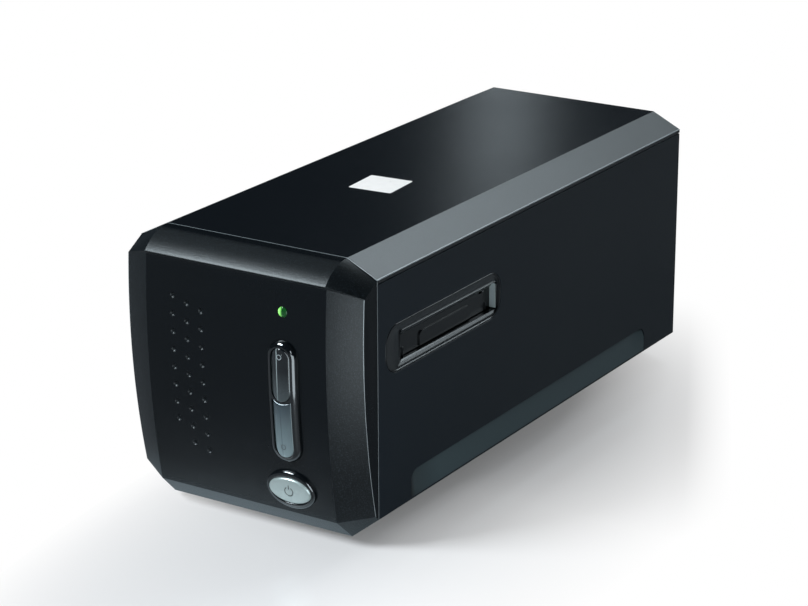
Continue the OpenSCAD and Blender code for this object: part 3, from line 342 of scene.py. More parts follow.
def loftFaces(rings, count, closed=True, caps=True):
    # quads between rings of as many points each, and caps on the two ends
    faces = []
    for k in range(rings - 1):
        for i in range(count if closed else count - 1):
            j = (i + 1) % count
            faces.append((k * count + i, k * count + j, (k + 1) * count + j, (k + 1) * count + i))
    if caps:
        faces.append(tuple(range(count - 1, -1, -1)))
        faces.append(tuple((rings - 1) * count + i for i in range(count)))
    return faces


def faceOutwards(mesh):
    work = bmesh.new()
    work.from_mesh(mesh)
    bmesh.ops.recalc_face_normals(work, faces=work.faces)
    work.to_mesh(mesh)
    work.free()
    return mesh


def solid(name, rings):
    points = [p for ring in rings for p in ring]
    return faceOutwards(meshOf(name, points, loftFaces(len(rings), len(rings[0]))))


def hoop(name, rings):
    # a solid whose last ring joins its first, with no caps
    points = [p for ring in rings for p in ring]
    count = len(rings[0])
    last = (len(rings) - 1) * count
    faces = loftFaces(len(rings), count, caps=False)
    faces += [(last + i, last + (i + 1) % count, (i + 1) % count, i) for i in range(count)]
    return faceOutwards(meshOf(name, points, faces))


def mirrored(side, ring):
    return [(side * x, y, z) for x, y, z in ring]


def level(outline, w):
    return [(u, v, w) for u, v in outline]


def roundedRect(w, h, r, steps=12):
    # corners of a rounded rectangle, anticlockwise, as many points at each corner
    outline = []
    for quarter, (i, j) in enumerate(((1, 1), (-1, 1), (-1, -1), (1, -1))):
        for k in range(steps + 1):
            a = math.radians(90 * (quarter + k / steps))
            outline.append((i * (w / 2 - r) + r * math.cos(a), j * (h / 2 - r) + r * math.sin(a)))
    return outline


def oval(w, h, count=96):
    turns = [2 * math.pi * k / count for k in range(count)]
    return [(w / 2 * math.cos(a), h / 2 * math.sin(a)) for a in turns]


def inset(outline, d):
    # an outline moved inwards by d, point by point
    moved = []
    for i, (u, v) in enumerate(outline):
        before, after = outline[i - 1], outline[(i + 1) % len(outline)]
        du, dv = after[0] - before[0], after[1] - before[1]
        length = math.hypot(du, dv) or 1
        moved.append((u - d * dv / length, v + d * du / length))
    return moved


def quarterRound(edge, steps):
    # how far in, and how far above the edge's foot, each step of a rounded edge lies
    turns = [math.pi / 2 * k / steps for k in range(steps + 1)]
    return [(edge * (1 - math.cos(a)), edge * math.sin(a)) for a in turns]


def domeRings(outline, height, base, edge, steps, inner):
    # rings that climb from a base to a front whose height is height(u, v), with a rounded edge
    rings = [level(outline, base)]
    for d, rise in quarterRound(edge, steps):
        rim = inset(outline, d)
        rings.append([(u, v, height(u, v) - edge + rise) for u, v in rim])
    midU = sum(u for u, v in rim) / len(rim)
    midV = sum(v for u, v in rim) / len(rim)
    for k in range(1, inner):
        t = 1 - k / inner
        row = [(midU + t * (u - midU), midV + t * (v - midV)) for u, v in rim]
        rings.append([(u, v, height(u, v)) for u, v in row])
    return rings


def roundEdges(mesh, width, angle, segments=3, weld=0.002):
    # rounds every edge where two faces meet more sharply than the angle, in degrees
    work = bmesh.new()
    work.from_mesh(mesh)
    bmesh.ops.remove_doubles(work, verts=work.verts, dist=weld * mm)
    bmesh.ops.recalc_face_normals(work, faces=work.faces)
    sharp = [e for e in work.edges if len(e.link_faces) == 2 and e.calc_face_angle() > math.radians(angle)]
    bmesh.ops.bevel(work, geom=sharp, offset=width * mm, offset_type="OFFSET", segments=segments,
                    profile=0.5, affect="EDGES", clamp_overlap=True)
    work.to_mesh(mesh)
    work.free()


def joined(name, meshes):
    work = bmesh.new()
    for mesh in meshes:
        work.from_mesh(mesh)
    mesh = bpy.data.meshes.new(name)
    work.to_mesh(mesh)
    work.free()
    return mesh


def cut(mesh, cutters, thickness=0):
    # mesh less the cutters; a thickness makes an open sheet a shell first
    piece = objectOf("rough", mesh)
    tool = objectOf("cutter", joined("cutter", cutters))
    if thickness:
        shell = piece.modifiers.new("shell", "SOLIDIFY")
        shell.thickness = thickness * mm
        shell.offset = -1
        shell.use_even_offset = True
    less = piece.modifiers.new("less", "BOOLEAN")
    less.object = tool
    less.operation = "DIFFERENCE"
    less.solver = "EXACT"
    bpy.context.view_layer.update()
    shaped = piece.evaluated_get(bpy.context.evaluated_depsgraph_get())
    made = bpy.data.meshes.new_from_object(shaped)
    bpy.data.objects.remove(piece)
    bpy.data.objects.remove(tool)
    return made


def smooth(mesh):
    for face in mesh.polygons:
        face.use_smooth = True


def addPiece(name, mesh, slotName, body, *replaced, angle=28, finish=None):
    # edges sharper than the angle stay sharp; a finish stands in for the slot's own
    smooth(mesh)
    mesh.set_sharp_from_angle(angle=math.radians(angle))
    mesh.materials.clear()
    mesh.materials.append(finishes[finish or slotName])
    piece = objectOf(name, mesh)
    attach(piece, body)
    if replaced:
        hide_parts(*replaced)


softEdges = {"width": 0.3, "angle": 14, "segments": 2, "weld": 0.01, "flat": 1}
slotOf = {row["node"]: row["material_slot"] for row in frame["record"]["subparts"]}


def softenEdges(piece):
    weld = piece.modifiers.new("weld", "WELD")
    weld.merge_threshold = softEdges["weld"] * mm
    flat = piece.modifiers.new("flat", "DECIMATE")
    flat.decimate_type = "DISSOLVE"
    flat.angle_limit = math.radians(softEdges["flat"])
    bevel = piece.modifiers.new("edges", "BEVEL")
    bevel.width = softEdges["width"] * mm
    bevel.segments = softEdges["segments"]
    bevel.limit_method = "ANGLE"
    bevel.angle_limit = math.radians(softEdges["angle"])
    normals = piece.modifiers.new("normals", "WEIGHTED_NORMAL")
    normals.keep_sharp = True
    smooth(piece.data)


for name, piece in nodes.items():
    piece.data.materials.clear()
    piece.data.materials.append(finishes[slotOf[name]])
    softenEdges(piece)
print("frame pieces dressed")


def corner(node, which):
    return [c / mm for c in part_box(node)[which]]


# the casing's sizes come from the frame; each slant is its width and its height
halfWidth = corner("right_side_panel", 1)[0]
seamY = corner("top_cover", 0)[1]
rearY = corner("top_cover", 1)[1]
topZ = corner("top_cover", 1)[2]
lowZ = corner("base_tray", 0)[2]
wallThick = 2.2
topBevel = (13.7, 6.7)
lowBevel = (12.5, 10)

bezel = {
    "faceHalfWidth": 43, "faceRadius": 387, "faceMidZ": 80.3, "depth": 15.9,
    "sideBack": 5.9, "sideRadius": 320, "sideMidUp": 3.5, "sideLowGap": 2, "wedgeDrop": 5.4,
    "rollRadius": 20, "rollDrop": 8.6, "lowRise": 9, "edgeRound": 0.45, "edgeAngle": 14,
    "faceSteps": 40, "rollSteps": 20,
}
# the dimples stand in three columns that step down towards the middle
dimple = {"width": 2.6, "depth": 0.7, "x": -30, "z": 94.8, "column": 6.9, "stepDown": 2.1, "pitch": 7.5,
          "rows": (8, 9, 9), "steps": 12}
# the front controls stand in one column, at x
controls = {
    "x": 23.1, "podWidth": 13.8, "podLength": 51.4, "podZ": 60.3, "podHeight": 2.4,
    "powerZ": 22.3, "powerWidth": 20.2, "powerTall": 11.2, "ringWidth": 23, "ringTall": 16.7,
    "lightZ": 97.5, "lightWidth": 4.2, "gap": 0.2, "holeSlack": 0.1, "powerHoleMore": 1.6,
    "podCut": (-20, 5), "roundCut": (4, -9), "keyCut": (-30, 0), "hair": 0.01,
}
# a painted highlight along the seam between the bezel and the casing: the bezel's skin stops short of it
seam = {"width": 0.34, "deep": 0.6, "under": 0.05, "over": 0.01}


def faceDepth(z):
    reach = bezel["faceRadius"]
    return math.sqrt(reach ** 2 - (z - bezel["faceMidZ"]) ** 2) - (reach - bezel["depth"])


def sideDepth(z):
    reach = bezel["sideRadius"]
    up = z - bezel["faceMidZ"] - bezel["sideMidUp"]
    return math.sqrt(reach ** 2 - up ** 2) - reach + bezel["depth"] - bezel["sideBack"]


def onFace(x, z, points):
    # points of a local frame whose third axis stands straight out of the face, in millimetres
    tilt = math.asin((bezel["faceMidZ"] - z) / bezel["faceRadius"])
    y = seamY - faceDepth(z)
    sin, cos = math.sin(tilt), math.cos(tilt)
    return [(x + u, y - v * sin - w * cos, z + v * cos - w * sin) for u, v, w in points]


def alongFace(points):
    # points whose third axis stands out of the face along the depth
    return [(u, seamY - faceDepth(v) - w, v) for u, v, w in points]


def bezelEdges():
    # the ridge beside the front face, and the one where the side facet meets the side panel
    steps, rollSteps = bezel["faceSteps"], bezel["rollSteps"]
    roll, drop = bezel["rollRadius"], bezel["rollDrop"]
    reach = math.sqrt(roll ** 2 - (roll - drop) ** 2)
    low = lowZ + bezel["lowRise"]
    face = []
    for i in range(steps + 1):
        z = low + (topZ - drop - low) * i / steps
        face.append((bezel["faceHalfWidth"], seamY - faceDepth(z), z))
    for i in range(1, rollSteps):
        q = reach * (1 - i / rollSteps)
        face.append((bezel["faceHalfWidth"], seamY - q, topZ - roll + math.sqrt(roll ** 2 - q ** 2)))
    face.append((halfWidth - topBevel[0], seamY, topZ))
    sideTop = topZ - topBevel[1]
    wedge = sideTop - bezel["wedgeDrop"]
    bottom = lowZ + lowBevel[1] + bezel["sideLowGap"]
    side = []
    for i in range(steps + 1):
        z = bottom + (wedge - bottom) * i / steps
        side.append((halfWidth, seamY - sideDepth(z), z))
    for i in range(1, rollSteps + 1):
        t = i / rollSteps
        side.append((halfWidth, seamY - sideDepth(wedge) * (1 - t), wedge + (sideTop - wedge) * t))
    return face, side


def bezelShell():
    face, side = bezelEdges()
    corners = [(halfWidth - lowBevel[0], seamY, lowZ), (halfWidth, seamY, lowZ + lowBevel[1])]
    points = face + side + mirrored(-1, face) + mirrored(-1, side) + corners + mirrored(-1, corners)
    points = [(x, min(y, seamY - seam["width"]), z) for x, y, z in points]
    n = len(face)
    right, rightSide, left, leftSide = 0, n, 2 * n, 3 * n
    low, lowSide, lowLeft, lowSideLeft = 4 * n, 4 * n + 1, 4 * n + 2, 4 * n + 3
    faces = []
    for i in range(n - 1):
        faces.append((left + i, right + i, right + i + 1, left + i + 1))
        faces.append((right + i, rightSide + i, rightSide + i + 1, right + i + 1))
        faces.append((leftSide + i, left + i, left + i + 1, leftSide + i + 1))
    faces.append((lowLeft, low, right, left))
    faces.append((low, rightSide, right))
    faces.append((low, lowSide, rightSide))
    faces.append((lowLeft, left, leftSide))
    faces.append((lowLeft, leftSide, lowSideLeft))
    faces.append([rightSide + i for i in range(n - 1, -1, -1)] + [lowSide])
    faces.append([lowSideLeft] + [leftSide + i for i in range(n)])
    mesh = meshOf("bezelShell", points, faces)
    roundEdges(mesh, bezel["edgeRound"], bezel["edgeAngle"])
    return mesh


def dimpleBall(x, z):
    # the ball that leaves one dimple where it is cut out of the face
    depth, steps = dimple["depth"], dimple["steps"]
    r = ((dimple["width"] / 2) ** 2 + depth ** 2) / (2 * depth)
    turns = [t * math.pi / steps for t in range(2 * steps)]
    rings = []
    for k in range(1, steps):
        a = math.pi * k / steps
        rings.append(onFace(x, z, [(r * math.sin(a) * math.cos(b), r * math.sin(a) * math.sin(b),
                                    r - depth - r * math.cos(a)) for b in turns]))
    return solid("dimple", rings)


def dimpleBalls():
    made = []
    for column, rows in enumerate(dimple["rows"]):
        for row in range(rows):
            z = dimple["z"] - column * dimple["stepDown"] - row * dimple["pitch"]
            made.append(dimpleBall(dimple["x"] + column * dimple["column"], z))
    return made


def buildBezel():
    x, slack, more = controls["x"], controls["holeSlack"], controls["powerHoleMore"]
    podHole = roundedRect(controls["podWidth"] + 2 * slack, controls["podLength"] + 2 * slack,
                          controls["podWidth"] / 2 + slack - controls["hair"])
    cutters = [solid("podHole", [[(x + u, seamY + y, controls["podZ"] + v) for u, v in podHole]
                                 for y in controls["podCut"]])]
    for z, w, h in ((controls["powerZ"], controls["powerWidth"] + more, controls["powerTall"] + more),
                    (controls["lightZ"], controls["lightWidth"], controls["lightWidth"])):
        outline = oval(w + 2 * slack, h + 2 * slack)
        cutters.append(solid("hole", [onFace(x, z, level(outline, d)) for d in controls["roundCut"]]))
    mesh = cut(bezelShell(), cutters + dimpleBalls(), thickness=wallThick)
    addPiece("bezelSkin", mesh, "bezel_plastic", "casing", "front_bezel", angle=32)


buildBezel()
print("bezel built")

buttons = {
    "width": 8.7, "upperZ": 72.3, "upperLength": 22.2, "lowZ": 37.3, "lowTopZ": 60.3, "cupRadius": 9,
    "crown": 9, "rise": 0.5, "edge": 0.45, "back": -128.6,
}
power = {
    "base": -4.1, "height": 2.4, "edge": 1.0, "bulge": 0.35,
    "ringHeight": 1.6, "ringEdge": 1.2, "ringFoot": 0.05, "ringSteps": 12,
    "ringCrest": 0.12, "ringCrestAt": (0.35, 0.7, 0.92), "ringMouth": 0.15, "ringWall": 0.75,
}
# the signs lie just proud of the caps; their places are measured from the middle or end of a button
signs = {
    "proud": 0.02, "upperUp": 7.6, "lowerUp": 4.6,
    "power": 1.9, "powerLine": 0.42, "powerArc": (120, 420), "powerStroke": ((0, 0.5), (0, 1.5)),
    "key": 1.0, "keyLine": 0.3, "keyStroke": ((-0.7, -0.7), (1.3, 1.3)),
}


def halfTurn(x, z, r, first, steps=20):
    return [(x + r * math.cos(first + math.pi * k / steps), z + r * math.sin(first + math.pi * k / steps))
            for k in range(steps + 1)]


def straight(x, z0, z1, steps=24):
    return [(x, z0 + (z1 - z0) * k / steps) for k in range(1, steps)]


def stadium(z, w, length, grow=0):
    x, r, half = controls["x"], w / 2 + grow, (length - w) / 2
    return (straight(x + r, z - half, z + half) + halfTurn(x, z + half, r, 0)
            + straight(x - r, z + half, z - half) + halfTurn(x, z - half, r, math.pi))


def upperOutline(grow=0):
    return stadium(buttons["upperZ"], buttons["width"], buttons["upperLength"], grow)


def lowerOutline(grow=0, steps=10):
    # straight sides, a round lower end, and an upper end hollowed to fit round the upper button
    x, r = controls["x"], buttons["width"] / 2 + grow
    low = buttons["lowZ"] + buttons["width"] / 2
    cup = buttons["cupRadius"] - grow
    cupZ = buttons["lowTopZ"] + buttons["cupRadius"]
    reach = math.asin(r / cup)
    turns = [reach * (1 - k / steps) for k in range(2 * steps + 1)]
    hollow = [(x + cup * math.sin(a), cupZ - cup * math.cos(a)) for a in turns]
    top = hollow[0][1]
    return straight(x + r, low, top) + hollow + straight(x - r, top, low) + halfTurn(x, low, r, math.pi)


def podTop(u, v):
    return controls["podHeight"]


def keyTop(u, v):
    reach = buttons["crown"]
    return controls["podHeight"] + buttons["rise"] - reach + math.sqrt(reach ** 2 - (u - controls["x"]) ** 2)


def powerTop(u, v):
    w, h = controls["powerWidth"] / 2, controls["powerTall"] / 2
    return power["height"] - power["bulge"] * ((u / w) ** 2 + (v / h) ** 2)


def frontSolid(name, outline, top, edge, steps, inner):
    # from a flat back to a top that follows the bezel's face
    rings = domeRings(outline, top, 0, edge, steps, inner)
    back = [(u, buttons["back"], v) for u, v in outline]
    return solid(name, [back] + [alongFace(ring) for ring in rings[1:]])


def buildPod():
    outline = stadium(controls["podZ"], controls["podWidth"], controls["podLength"])
    holes = []
    for hole in (upperOutline(controls["gap"]), lowerOutline(controls["gap"])):
        holes.append(solid("hole", [[(u, seamY + y, v) for u, v in hole] for y in controls["keyCut"]]))
    edge = controls["podHeight"] - controls["hair"]
    mesh = cut(frontSolid("pod", outline, podTop, edge, steps=14, inner=6), holes)
    addPiece("podSkin", mesh, "gloss_black", "casing", "scan_button_pod", angle=35)


def buildScanButton(name, outline, slotName, body, node):
    mesh = frontSolid(name, outline, keyTop, buttons["edge"], steps=6, inner=12)
    addPiece(name, mesh, slotName, body, node, angle=50, finish=body)


def buildPower():
    x, z = controls["x"], controls["powerZ"]
    outer = oval(controls["ringWidth"], controls["ringTall"])
    inner = oval(controls["powerWidth"] + 2 * controls["gap"], controls["powerTall"] + 2 * controls["gap"])
    edge, top, foot = power["ringEdge"], power["ringHeight"], power["ringFoot"]
    steps = power["ringSteps"]
    rings = [level(outer, foot)]
    rings += [level(inset(outer, d), top - edge + rise) for d, rise in quarterRound(edge, steps)]
    rim = inset(outer, edge)
    for t in power["ringCrestAt"]:
        crest = top + power["ringCrest"] * math.sin(math.pi * t)
        rings.append([(a[0] + t * (b[0] - a[0]), a[1] + t * (b[1] - a[1]), crest)
                      for a, b in zip(rim, inner)])
    wall = inset(inner, -power["ringWall"])
    rings += [level(inner, top - power["ringMouth"]), level(inner, power["base"])]
    rings += [level(wall, power["base"]), level(wall, foot)]
    mesh = hoop("powerRing", [onFace(x, z, ring) for ring in rings])
    addPiece("powerRingSkin", mesh, "gloss_black", "casing", "power_button_ring", angle=50)
    outline = oval(controls["powerWidth"], controls["powerTall"])
    rings = domeRings(outline, powerTop, power["base"], power["edge"], steps=8, inner=12)
    mesh = solid("powerButton", [onFace(x, z, ring) for ring in rings])
    addPiece("powerButtonSkin", mesh, "silver_button", "power_key", "power_button", angle=50)


def flatSign(name, width, lines, place, slotName, body, finish=None):
    # a thin generic sign: each line of points is drawn with a width, laid on a surface
    meshes = []
    for line in lines:
        rows = []
        for i, (u, v) in enumerate(line):
            before, after = line[max(i - 1, 0)], line[min(i + 1, len(line) - 1)]
            du, dv = after[0] - before[0], after[1] - before[1]
            length = math.hypot(du, dv)
            across, up = width * dv / length, -width * du / length
            rows.append([place(u + s * across, v + s * up) for s in (-0.5, 0.5)])
        points = [p for row in rows for p in row]
        meshes.append(meshOf(name, points, loftFaces(len(rows), 2, closed=False, caps=False)))
    addPiece(name, joined(name, meshes), slotName, body, finish=finish)


def arc(radius, first, last, steps=24):
    turns = [math.radians(first + (last - first) * k / steps) for k in range(steps + 1)]
    return [(radius * math.cos(a), radius * math.sin(a)) for a in turns]


def buildSigns():
    def scaled(stroke, size):
        return [(size * u, size * v) for u, v in stroke]

    def onPower(u, v):
        return onFace(controls["x"], controls["powerZ"], [(u, v, powerTop(u, v) + signs["proud"])])[0]

    lines = [arc(signs["power"], *signs["powerArc"]), scaled(signs["powerStroke"], signs["power"])]
    flatSign("powerSign", signs["powerLine"], lines, onPower, "black_plastic", "power_key")
    lines = [arc(signs["key"], 0, 360), scaled(signs["keyStroke"], signs["key"])]
    for name, at, slotName, body, finish in (
            ("upperSign", buttons["upperZ"] + signs["upperUp"], "white_plastic", "upper_key", "seam_plastic"),
            ("lowerSign", buttons["lowZ"] + signs["lowerUp"], "black_plastic", "lower_key", None)):

        def onKey(u, v):
            u, v = controls["x"] + u, at + v
            return alongFace([(u, v, keyTop(u, v) + signs["proud"])])[0]

        flatSign(name, signs["keyLine"], lines, onKey, slotName, body, finish)


buildPod()
buildScanButton("upperButtonSkin", upperOutline(), "smoke_button", "upper_key", "upper_scan_button")
buildScanButton("lowerButtonSkin", lowerOutline(), "silver_button", "lower_key", "lower_scan_button")
buildPower()
buildSigns()
print("front controls built")

slot = {
    "y": -69.2, "z": 80.3, "length": 88, "height": 20, "radius": 8.5, "frameIn": 6.6, "cornerSteps": 20,
    "lip": 0.55, "lipRound": 0.25, "lipSteps": 4, "hair": 0.001, "flange": 1.5, "flangeEdge": 2.8,
    "filmY": -64.1, "filmZ": 79.3, "filmWidth": 72, "filmHeight": 12.2, "filmCorner": 1.2,
    "pinX": 51.9, "pinZ": 83.9, "pinBore": 0.82, "pinGrip": 1.5, "knuckle": 1.7, "boreSteps": 32,
}
# the dish falls ever more steeply towards the mouth, and is shallower towards its rear end
dish = {
    "rim": 0.35, "depth": 1.8, "steepness": 1.9, "rearRise": 0.9, "rearFrom": 10,
    "steps": (0.0, 0.12, 0.24, 0.36, 0.48, 0.58, 0.67, 0.75, 0.81, 0.86),
}
# a fine bead runs round the mouth's top and ends; a step is a place across the dish and a share of the bead
bead = {
    "height": 0.6, "low": 0.6, "fade": 2.5,
    "steps": ((0.88, 0.12), (0.90, 0.45), (0.92, 0.78), (0.94, 0.95), (0.965, 1.0),
              (0.985, 0.85), (1.0, 0.5)),
}
# a pale patch of painted highlight on the mouth's rear wall, where it faces the light
litWallPatch = {
    "width": 3.6, "shorter": 1.2, "corner": 0.6, "deep": 2.6, "lower": 0.5, "thick": 0.2, "cornerSteps": 4,
}


def slotRings():
    steps, edge = slot["cornerSteps"], slot["flangeEdge"]
    outer = roundedRect(slot["length"], slot["height"], slot["radius"], steps)
    inner = roundedRect(slot["filmWidth"], slot["filmHeight"], slot["filmCorner"], steps)
    wide = roundedRect(slot["length"] + 2 * edge, slot["height"] + 2 * edge, slot["radius"] + edge, steps)
    back, behind, face = halfWidth - slot["frameIn"], halfWidth - wallThick, halfWidth
    lip, rounding = slot["lip"], slot["lipRound"]

    def frameRing(outline, x):
        return [(x, slot["y"] + u, slot["z"] + v) for u, v in outline]

    def mouthRing(x):
        return [(x, slot["filmY"] + u, slot["filmZ"] + v) for u, v in inner]

    def dishRing(t, rise):
        fall = t ** dish["steepness"]
        x = face - dish["rim"] - (dish["depth"] - dish["rim"]) * fall
        row = []
        for a, b in zip(frameRing(inset(outer, lip + rounding), x), mouthRing(x)):
            y, z = a[1] + t * (b[1] - a[1]), a[2] + t * (b[2] - a[2])
            rearward = (y - slot["filmY"] - dish["rearFrom"]) / (slot["filmWidth"] / 2 - dish["rearFrom"])
            rearward = min(max(rearward, 0), 1)
            shallower = dish["rearRise"] * fall * rearward ** 2 * (3 - 2 * rearward)
            above = z - (slot["filmZ"] - slot["filmHeight"] / 2) - bead["low"]
            upper = min(max(above / bead["fade"], 0), 1)
            row.append((x + shallower + bead["height"] * rise * upper, y, z))
        return row

    rings = [mouthRing(back), frameRing(outer, back), frameRing(outer, behind - slot["flange"]),
             frameRing(wide, behind - slot["flange"]), frameRing(wide, behind), frameRing(outer, behind)]
    for d, rise in quarterRound(rounding, slot["lipSteps"]):
        rings.append(frameRing(inset(outer, d + slot["hair"]), face - rounding + rise))
    rings.append(frameRing(inset(outer, lip), face))
    rings += [dishRing(t, 0) for t in dish["steps"]]
    rings += [dishRing(t, rise) for t, rise in bead["steps"]]
    return rings


def buildSlotFrames():
    half = slot["filmWidth"] / 2
    for side, name in ((1, "right"), (-1, "left")):
        mesh = hoop(name + "SlotFrame", [mirrored(side, ring) for ring in slotRings()])
        bores = []
        for radius, reach in ((slot["pinBore"], half + slot["pinGrip"]), (slot["knuckle"], half)):
            circle = oval(2 * radius, 2 * radius, slot["boreSteps"])
            bores.append(solid("bore", [
                [(side * (slot["pinX"] + u), slot["filmY"] + y, slot["pinZ"] + v) for u, v in circle]
                for y in (-reach, reach)]))
        addPiece(name + "SlotSkin", cut(mesh, bores), "gloss_black", "casing", name + "_slot_frame",
                 angle=32, finish="slot_plastic")
        # a pale patch on the mouth's rear wall: painted highlight where the wall faces the light
        strip = roundedRect(litWallPatch["width"], slot["filmHeight"] - litWallPatch["shorter"],
                            litWallPatch["corner"], litWallPatch["cornerSteps"])
        x, z = halfWidth - litWallPatch["deep"], slot["filmZ"] - litWallPatch["lower"]
        rings = [[(side * (x + u), slot["filmY"] + half - d, z + v) for u, v in strip]
                 for d in (0.0, litWallPatch["thick"])]
        addPiece(name + "GuideStrip", solid("strip", rings), "white_plastic", "casing",
                 finish="guide_plastic")


buildSlotFrames()
print("slot frames built")

grip = {
    "y": (-94.95, 106.95), "z": (13.3, 24.6), "depth": 2.6, "fall": 12.3,
    "corner": 5, "frontRise": 5, "rearRise": 14,
    "thick": 0.05, "sunk": 0.02, "proud": 0.08, "steps": 160, "rows": 12,
}


def gripLine(y):
    # the scoop's skin at y, from its low edge to its upper one
    y0, y1 = grip["y"]
    z0, z1 = grip["z"]
    r = grip["corner"]
    near = min(y - y0, y1 - y, r)
    top = z1 - r + math.sqrt(r ** 2 - (r - near) ** 2) - grip["sunk"]
    front = min((y - y0) / grip["frontRise"], 1)
    rear = min((y1 - y) / grip["rearRise"], 1)
    share = (front * (2 - front)) * (rear * (2 - rear))
    line = []
    for k in range(grip["rows"] + 1):
        z = z0 + (top - z0) * k / grip["rows"]
        scoop = (grip["depth"] / grip["fall"] * (z - z0) - grip["proud"]) * share
        line.append((halfWidth - grip["sunk"] - scoop, y, z))
    return line


def buildGrips():
    y0, y1 = grip["y"]
    lines = [gripLine(y0 + (y1 - y0) * i / grip["steps"]) for i in range(grip["steps"] + 1)]
    for side, name in ((1, "rightGrip"), (-1, "leftGrip")):
        rings = []
        for line in lines:
            inner = [(x - grip["thick"], y, z) for x, y, z in reversed(line)]
            rings.append(mirrored(side, line + inner))
        addPiece(name, solid(name, rings), "side_plastic", "casing", finish="grip_plastic", angle=40)


def sectionRing(y, d):
    # the casing's outline taken in by d
    topSlant, lowSlant = math.hypot(*topBevel), math.hypot(*lowBevel)
    right = [
        (halfWidth - lowBevel[0] - d * (lowSlant - lowBevel[0]) / lowBevel[1], y, lowZ + d),
        (halfWidth - d, y, lowZ + lowBevel[1] + d * (lowSlant - lowBevel[1]) / lowBevel[0]),
        (halfWidth - d, y, topZ - topBevel[1] - d * (topSlant - topBevel[1]) / topBevel[0]),
        (halfWidth - topBevel[0] - d * (topSlant - topBevel[0]) / topBevel[1], y, topZ - d)]
    return right + mirrored(-1, reversed(right))


# painted highlights on the edges beside the side panels: a pale arris along each roof slant, a pale ridge
# along each bezel facet
arris = {"wide": 0.34, "proud": 0.01, "front": 0.02, "rear": 0.3}
ridge = {"wide": 0.2, "deep": 0.22, "foot": 0.3, "proud": 0.01}


def buildSeam():
    y0, y1, deep = seamY - seam["width"] - seam["under"], seamY + seam["over"], seam["deep"]
    rings = [sectionRing(y0, 0), sectionRing(y1, 0), sectionRing(y1, deep), sectionRing(y0, deep)]
    addPiece("bezelSeam", hoop("seam", rings), "bezel_plastic", "casing", finish="seam_plastic")


def buildArrises():
    x, z, wide, proud = halfWidth, topZ - topBevel[1], arris["wide"], arris["proud"]
    slope = topBevel[1] / topBevel[0]
    ends = (seamY + arris["front"], rearY - arris["rear"])
    section = [(x + proud, z - wide), (x + proud, z),
               (x - wide, z + wide * slope + proud), (x - wide, z - wide)]
    for side, name in ((1, "rightArris"), (-1, "leftArris")):
        rings = [[(side * u, y, v) for u, v in section] for y in ends]
        addPiece(name, solid(name, rings), "case_plastic", "casing", finish="seam_plastic")


def buildRidges():
    lean = bezel["sideBack"] / (halfWidth - bezel["faceHalfWidth"])
    wide, deep, foot, proud = ridge["wide"], ridge["deep"], ridge["foot"], ridge["proud"]
    rings = []
    for x, y, z in bezelEdges()[1][:bezel["faceSteps"] + 1]:
        rings.append([(x + proud, y + deep, z), (x + proud, y, z),
                      (x - wide, y - wide * lean, z), (x - foot, y + deep, z)])
    for side, name in ((1, "rightRidge"), (-1, "leftRidge")):
        mesh = solid(name, [mirrored(side, ring) for ring in rings])
        addPiece(name, mesh, "bezel_plastic", "casing", finish="seam_plastic")


buildGrips()
buildSeam()
buildArrises()
buildRidges()
print("grips and bright edges built")

# a plain sticker on the roof, which stands proud of it by its own thickness
sticker = {"x": 0.0, "y": -28.8, "size": 20, "turn": 4, "thick": 0.03, "sunk": 0.01, "corner": 0.8}


def buildSticker():
    sin, cos = math.sin(math.radians(sticker["turn"])), math.cos(math.radians(sticker["turn"]))
    outline = roundedRect(sticker["size"], sticker["size"], sticker["corner"])
    rings = []
    for lift in (-sticker["sunk"], sticker["thick"]):
        rings.append([(sticker["x"] + u * cos - v * sin, sticker["y"] + u * sin + v * cos, topZ + lift)
                      for u, v in outline])
    addPiece("plainSticker", solid("sticker", rings), "white_plastic", "casing", finish="sticker_film")


buildSticker()
print("sticker laid")

floor = {
    "size": 8.0, "colour": (0.61, 0.555, 0.54), "rough": 0.12, "bounce": 0.75,
    "mirrored": (0.064, 0.092, 0.116),
    "gleam": (0.85, 1.1, 1.25), "gleamAt": (0.0, -0.122), "gleamSize": (0.10, 0.032),
}
# the soft patch of shadow, in metres: an oval that ends along a line, and fades to the right and the rear
shadow = {
    "at": (0.085, -0.08), "size": (0.155, 0.33), "strength": 0.88,
    "lineTurn": (0.9, 0.433), "line": 0.118, "lineFade": 0.02,
    "rightFrom": 0.054, "rightFade": 9.5, "rearFrom": -0.05, "rearFade": 25,
}


def floorOval(x, y, at, size):
    u, v = (x - at[0]) / size[0], (y - at[1]) / size[1]
    return (1 - (u * u + v * v)).clamped()


